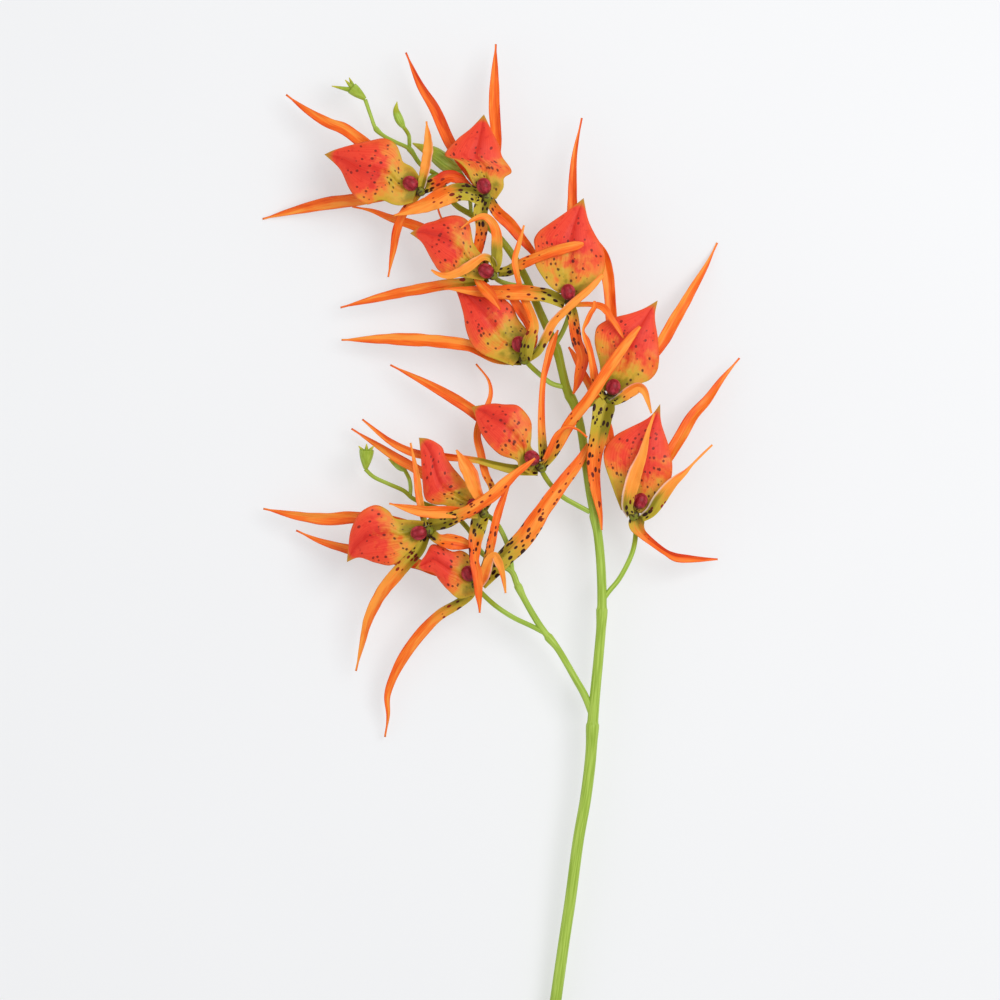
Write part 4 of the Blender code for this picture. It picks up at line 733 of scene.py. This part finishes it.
class Finish:
    """A material's node tree, with short calls that add a node and give back its output."""

    def __init__(self, name, roughness):
        self.material = bpy.data.materials.new(name)
        self.material.use_nodes = True
        self.tree = self.material.node_tree
        self.shader = self.tree.nodes["Principled BSDF"]
        self.shader.inputs["Roughness"].default_value = roughness
        self.shader.inputs["Specular IOR Level"].default_value = 0.28

    def feed(self, socket, value):
        """Links a node's output to an input, or sets the input to a plain number or colour."""
        value = value.socket if isinstance(value, Value) else value
        if isinstance(value, bpy.types.NodeSocket):
            self.tree.links.new(value, socket)
        else:
            socket.default_value = value

    def node(self, kind, inputs, **settings):
        made = self.tree.nodes.new(kind)
        for key, value in settings.items():
            setattr(made, key, value)
        for key, value in inputs.items():
            self.feed(made.inputs[key], value)
        return made

    def fact(self, name):
        """The three values of a piece's own attribute, and all of them as one vector."""
        vector = self.node("ShaderNodeAttribute", {}, attribute_name=name).outputs["Vector"]
        parts = self.node("ShaderNodeSeparateXYZ", {"Vector": vector}).outputs
        return [Value(self, parts[axis]) for axis in "XYZ"] + [vector]

    def reckon(self, operation, first, second=0.0):
        made = self.node("ShaderNodeMath", {0: first, 1: second}, operation=operation)
        return Value(self, made.outputs["Value"])

    def ramp(self, value, low, high, start=0.0, end=1.0):
        """A smooth change from start to end while value runs from low to high."""
        inputs = {"Value": value, "From Min": low, "From Max": high, "To Min": start, "To Max": end}
        made = self.node("ShaderNodeMapRange", inputs, interpolation_type="SMOOTHSTEP")
        return Value(self, made.outputs["Result"])

    def fade(self, value, low, high, start=1.0):
        """A smooth fall from start to nothing while value runs from low to high."""
        return self.ramp(value, low, high, start, 0.0)

    def mix(self, share, first, second):
        """The first colour, or as much of the second in its place as share says."""
        made = self.node("ShaderNodeMix", {}, data_type="RGBA")
        for index, value in ((0, share), (6, first), (7, second)):
            self.feed(made.inputs[index], value)
        return made.outputs[2]

    def stretched(self, vector, scale):
        inputs = {"Vector": vector, "Scale": scale}
        return self.node("ShaderNodeMapping", inputs, vector_type="POINT").outputs["Vector"]

    def noise(self, vector, scale, detail=3.0):
        inputs = {"Vector": self.stretched(vector, scale), "Scale": 1.0, "Detail": detail}
        return Value(self, self.node("ShaderNodeTexNoise", inputs).outputs["Fac"])

    def cells(self, vector, scale, randomness=0.85):
        """The distance to the nearest of some strewn points, and two numbers drawn for it."""
        inputs = {"Vector": self.stretched(vector, scale), "Scale": 1.0, "Randomness": randomness}
        made = self.node("ShaderNodeTexVoronoi", inputs).outputs
        drawn = self.node("ShaderNodeSeparateColor", {"Color": made["Color"]}).outputs
        return [Value(self, part) for part in (made["Distance"], drawn["Red"], drawn["Green"])]

    def finish(self, colour, roughness=None, bump=None, distance=0.0002):
        self.feed(self.shader.inputs["Base Color"], colour)
        if roughness is not None:
            self.feed(self.shader.inputs["Roughness"], roughness)
        if bump is not None:
            inputs = {"Height": bump, "Distance": distance, "Strength": 0.6}
            normal = self.node("ShaderNodeBump", inputs).outputs["Normal"]
            self.feed(self.shader.inputs["Normal"], normal)
        return self.material


def tepal_finish():
    """Satin orange, yellow-green towards the hub, with long dark spots that thin out along it."""
    f = Finish("tepal_orange_fine", 0.48)
    along, across, top = f.fact("share")[:3]
    green, spots, tone = f.fact("look")[:3]
    lay = f.fact("lay")[3]
    streak = f.noise(lay, (0.08, 1.7, 1.0), 4.0)
    patch = f.noise(lay, (0.05, 0.25, 1.0), 2.0)

    # Painted shade: the shaded half of each blade, across its channel, is painted deeper orange.
    half = f.ramp(across + (streak - 0.5) * 0.5, -0.25, 0.25)
    deep = abs(across) ** 4.0 * 0.30 + tone * 0.80 + half * 0.36
    deep = deep + (streak - 0.5) * 1.3 + (patch - 0.5) * 1.2
    colour = f.mix(f.ramp(deep, 0.05, 0.60), srgb(255, 158, 58), srgb(252, 112, 24))
    colour = f.mix(f.ramp(deep, 0.50, 1.30), colour, srgb(222, 58, 6))

    reach = along + ((streak - 0.5) * 0.20 + (patch - 0.5) * 0.16) - green
    colour = f.mix(f.fade(reach, -0.10, 0.12), colour, srgb(236, 156, 50))
    # Painted shade: the green root is painted darker olive on the shaded half.
    root = f.mix(half, srgb(198, 176, 50), srgb(140, 126, 20))
    # Painted shade: the hub is painted dark olive with a dark mottle, for the hollow round its column.
    hub_shade_mottle = f.ramp(f.noise(lay, (0.35, 0.35, 0.35), 2.0), 0.44, 0.56)
    hub = f.mix(hub_shade_mottle, srgb(126, 128, 30), srgb(70, 52, 14))
    root = f.mix(f.ramp(tone, 1.2, 1.8), root, hub)
    colour = f.mix(f.fade(reach, -0.14, 0.02), colour, root)

    distance, size, chance = f.cells(lay, (0.24, 0.46, 1.0))
    way = along / spots
    radius = (size * 0.24 + 0.28) * f.fade(way * 0.75 - chance, -0.1, 0.8)
    spot = f.fade(distance - radius, -0.06, 0.04) * f.ramp(radius, 0.03, 0.12)
    ink = f.mix(f.ramp(way, 0.45, 1.2), srgb(48, 12, 6), srgb(150, 36, 6))
    colour = f.mix(spot, colour, ink)
    # Painted highlight: a pale pinkish band along one edge of the blades whose depth is below 0.
    pale = f.ramp(across, 0.62, 0.95, 0.0, 0.75) * f.fade(tone, -0.30, 0.0)
    colour = f.mix(pale * f.fade(along, 0.35, 0.80), colour, srgb(250, 214, 200))
    # The underside is darker and duller than the top: partly its own deeper orange, partly painted shade.
    colour = f.mix(f.reckon("SUBTRACT", 1.0, top) * 0.45, colour, srgb(176, 88, 34))
    return f.finish(colour, f.ramp(streak, 0.2, 0.8, 0.42, 0.56), streak, 0.00035)


def lip_finish():
    """Satin crimson over orange, olive-yellow at the throat and point, with fine veins and spots."""
    f = Finish("lip_crimson_fine", 0.46)
    along, across, top, share = f.fact("share")
    lay = f.fact("lay")[3]
    cloud = f.noise(lay, (0.09, 0.09, 1.0), 4.0)
    fine_cloud = f.noise(lay, (0.28, 0.28, 1.0), 3.0)
    veins = f.noise(share, (2.0, 26.0, 3.0), 4.0)
    reach = along + ((cloud - 0.5) * 0.75 + (fine_cloud - 0.5) * 0.22)
    out = abs(across)
    rim = out**5.0

    orange = f.mix(f.ramp(veins, 0.30, 0.75), srgb(248, 146, 54), srgb(232, 108, 28))
    colour = f.mix(f.ramp(reach, 0.04, 0.22), srgb(150, 136, 24), srgb(214, 172, 52))
    colour = f.mix(f.ramp(reach, 0.19, 0.36), colour, orange)
    crimson = f.mix(f.ramp(veins, 0.25, 0.75), srgb(248, 76, 50), srgb(236, 52, 32))
    crimson = f.mix(f.ramp(fine_cloud, 0.50, 0.72) * 0.55, crimson, srgb(212, 28, 20))
    colour = f.mix(f.ramp(reach, 0.30, 0.52), colour, crimson)
    crease = f.fade(abs(across - 0.10), 0.0, 0.42)
    # Darker deep red along the crease down the middle of the lip.
    crease_darkening = crease * f.ramp(reach + fine_cloud * 0.3, 0.30, 0.70)
    colour = f.mix(crease_darkening * 0.55, colour, srgb(200, 20, 12))
    colour = f.mix(rim * f.ramp(along, 0.25, 0.75, 0.75, 0.35), colour, srgb(244, 122, 40))
    olive = f.ramp(out, 0.74, 1.0, 0.0, 0.75) * f.fade(reach, 0.15, 0.50)
    colour = f.mix(olive, colour, srgb(190, 176, 40))
    colour = f.mix(f.ramp(along + rim * 0.05, 0.89, 0.975), colour, srgb(196, 138, 34))

    distance, size = f.cells(lay, (0.34, 0.42, 1.0), 0.95)[:2]
    radius = (size * 0.46 - 0.06) * f.fade(out, 0.75, 1.10) * f.fade(along, 0.66, 0.96)
    spot = f.fade(distance - radius, -0.10, 0.08) * f.ramp(radius, 0.04, 0.16, 0.0, 0.90)
    ink = f.mix(f.ramp(along, 0.25, 0.75), srgb(76, 24, 8), srgb(136, 26, 16))
    colour = f.mix(spot, colour, ink)
    # The underside is darker and duller than the top: partly its own deeper colour, partly painted shade.
    colour = f.mix(f.reckon("SUBTRACT", 1.0, top) * 0.5, colour, srgb(186, 92, 34))
    return f.finish(colour, f.ramp(cloud, 0.2, 0.8, 0.42, 0.54), veins, 0.00025)


def column_finish():
    """Satin wine red with fine grooves along it and lighter patches, with painted shade darkening it
    towards its hub.
    """
    f = Finish("column_wine_fine", 0.42)
    along, lay = f.fact("share")[0], f.fact("lay")[3]
    grain = f.noise(lay, (0.25, 1.3, 1.3), 4.0)
    patch = f.noise(lay, (0.35, 0.35, 0.35), 2.0)
    colour = f.mix(f.ramp(grain, 0.3, 0.7), srgb(124, 10, 24), srgb(166, 30, 42))
    colour = f.mix(f.ramp(patch, 0.42, 0.62), colour, srgb(186, 52, 66))
    # Painted shade where the column sits in its hub.
    colour = f.mix(f.fade(along, 0.0, 0.40, 0.85), colour, srgb(62, 14, 10))
    return f.finish(colour, f.ramp(grain, 0.2, 0.8, 0.38, 0.50), grain, 0.0003)


def stem_finish():
    """Satin yellow-green with faint long streaks. Painted shade makes each stem and pedicel olive over the
    far half of its length, less so at its very end, and the calyces are olive all over.
    """
    f = Finish("stem_green_fine", 0.45)
    along, lay = f.fact("share")[0], f.fact("lay")[3]
    part, tip = f.fact("look")[:2]
    streak = f.noise(lay, (0.05, 1.2, 1.2), 4.0)
    patch = f.noise(lay, (0.04, 0.15, 0.15), 2.0)
    colour = f.mix(f.ramp(streak, 0.3, 0.7), srgb(180, 206, 88), srgb(146, 176, 54))
    # Painted shade: olive over the far half of each stem and pedicel, falling off at its very end.
    stem_painted_shade = f.ramp(along, 0.42, 0.75) * f.ramp(along, 0.88, 0.94, 1.0, 0.35)
    olive = f.reckon("MAXIMUM", stem_painted_shade, part) + (patch - 0.5)
    colour = f.mix(f.ramp(olive, 0.1, 0.9) * 0.85, colour, srgb(150, 158, 14))
    colour = f.mix(tip * f.ramp(along, 0.5, 1.0), colour, srgb(206, 196, 62))
    return f.finish(colour, f.ramp(streak, 0.2, 0.8, 0.38, 0.52), streak, 0.0002)


def floor_finish():
    """Matt grey with the faintest mottle, glowing a little by itself: painted light that makes it look
    near-white and keeps its shadows light.
    """
    f = Finish("pale_floor", 0.9)
    where = f.node("ShaderNodeTexCoord", {}).outputs["Object"]
    grain = f.noise(where, (4.0, 4.0, 4.0), 2.0)
    # Painted light: the floor glows a little by itself, which keeps the shadows on it light.
    f.shader.inputs["Emission Color"].default_value = srgb(250, 250, 251)
    f.shader.inputs["Emission Strength"].default_value = FLOOR_GLOW
    return f.finish(f.mix(grain, srgb(184, 184, 185), srgb(188, 188, 189)))


def studio():
    """A pale floor, a broad key light from the upper right, a faint fill and an even sky."""
    middle = place(VIEW_SPOT)
    mesh = bpy.data.meshes.new("floor")
    bm = bmesh.new()
    bmesh.ops.create_grid(bm, x_segments=1, y_segments=1, size=FLOOR_HALF)
    bm.to_mesh(mesh)
    bm.free()
    mesh.materials.append(floor_finish())
    floor = bpy.data.objects.new("floor", mesh)
    floor.location = (middle[0], middle[1], -FLOOR_DROP)
    bpy.context.scene.collection.objects.link(floor)

    def area(name, offset, size, power):
        light = bpy.data.lights.new(name, "AREA")
        light.shape = "DISK"
        light.size = size
        light.energy = power
        made = bpy.data.objects.new(name, light)
        made.location = Vector(middle) + Vector(offset)
        made.rotation_euler = Vector(offset).to_track_quat("Z", "Y").to_euler()
        bpy.context.scene.collection.objects.link(made)

    area("key_light", *KEY_LIGHT)
    area("fill_light", *FILL_LIGHT)
    world = bpy.data.worlds.new("sky")
    world.use_nodes = True
    sky = world.node_tree.nodes["Background"].inputs
    sky["Color"].default_value = SKY_COLOUR
    sky["Strength"].default_value = SKY_STRENGTH
    bpy.context.scene.world = world


def camera():
    """Straight down on the spray, from far enough that heights hardly shift what it sees."""
    lens = bpy.data.cameras.new("camera")
    lens.lens = lens.sensor_width * (VIEW_HEIGHT - MIDDLE_HEIGHT) / VIEW_WIDTH
    lens.clip_end = 100.0
    made = bpy.data.objects.new("camera", lens)
    middle = place(VIEW_SPOT)
    made.location = (middle[0], middle[1], VIEW_HEIGHT)
    bpy.context.scene.collection.objects.link(made)
    bpy.context.scene.camera = made


def build():
    """The stem, then the three pieces of each bloom, with a seed each for its tepals and its lip."""
    tepals, lip, column = tepal_finish(), lip_finish(), column_finish()
    grown_stem(stem_finish())
    for index, (letter, parts) in enumerate(BLOOMS.items()):
        bloom_tepals(letter, parts, tepals, 10 * index + 1)
        bloom_lip(letter, parts, lip, 10 * index + 7)
        bloom_column(letter, parts, column)


camera()
studio()
build()
bpy.context.scene.view_settings.view_transform = "Standard"
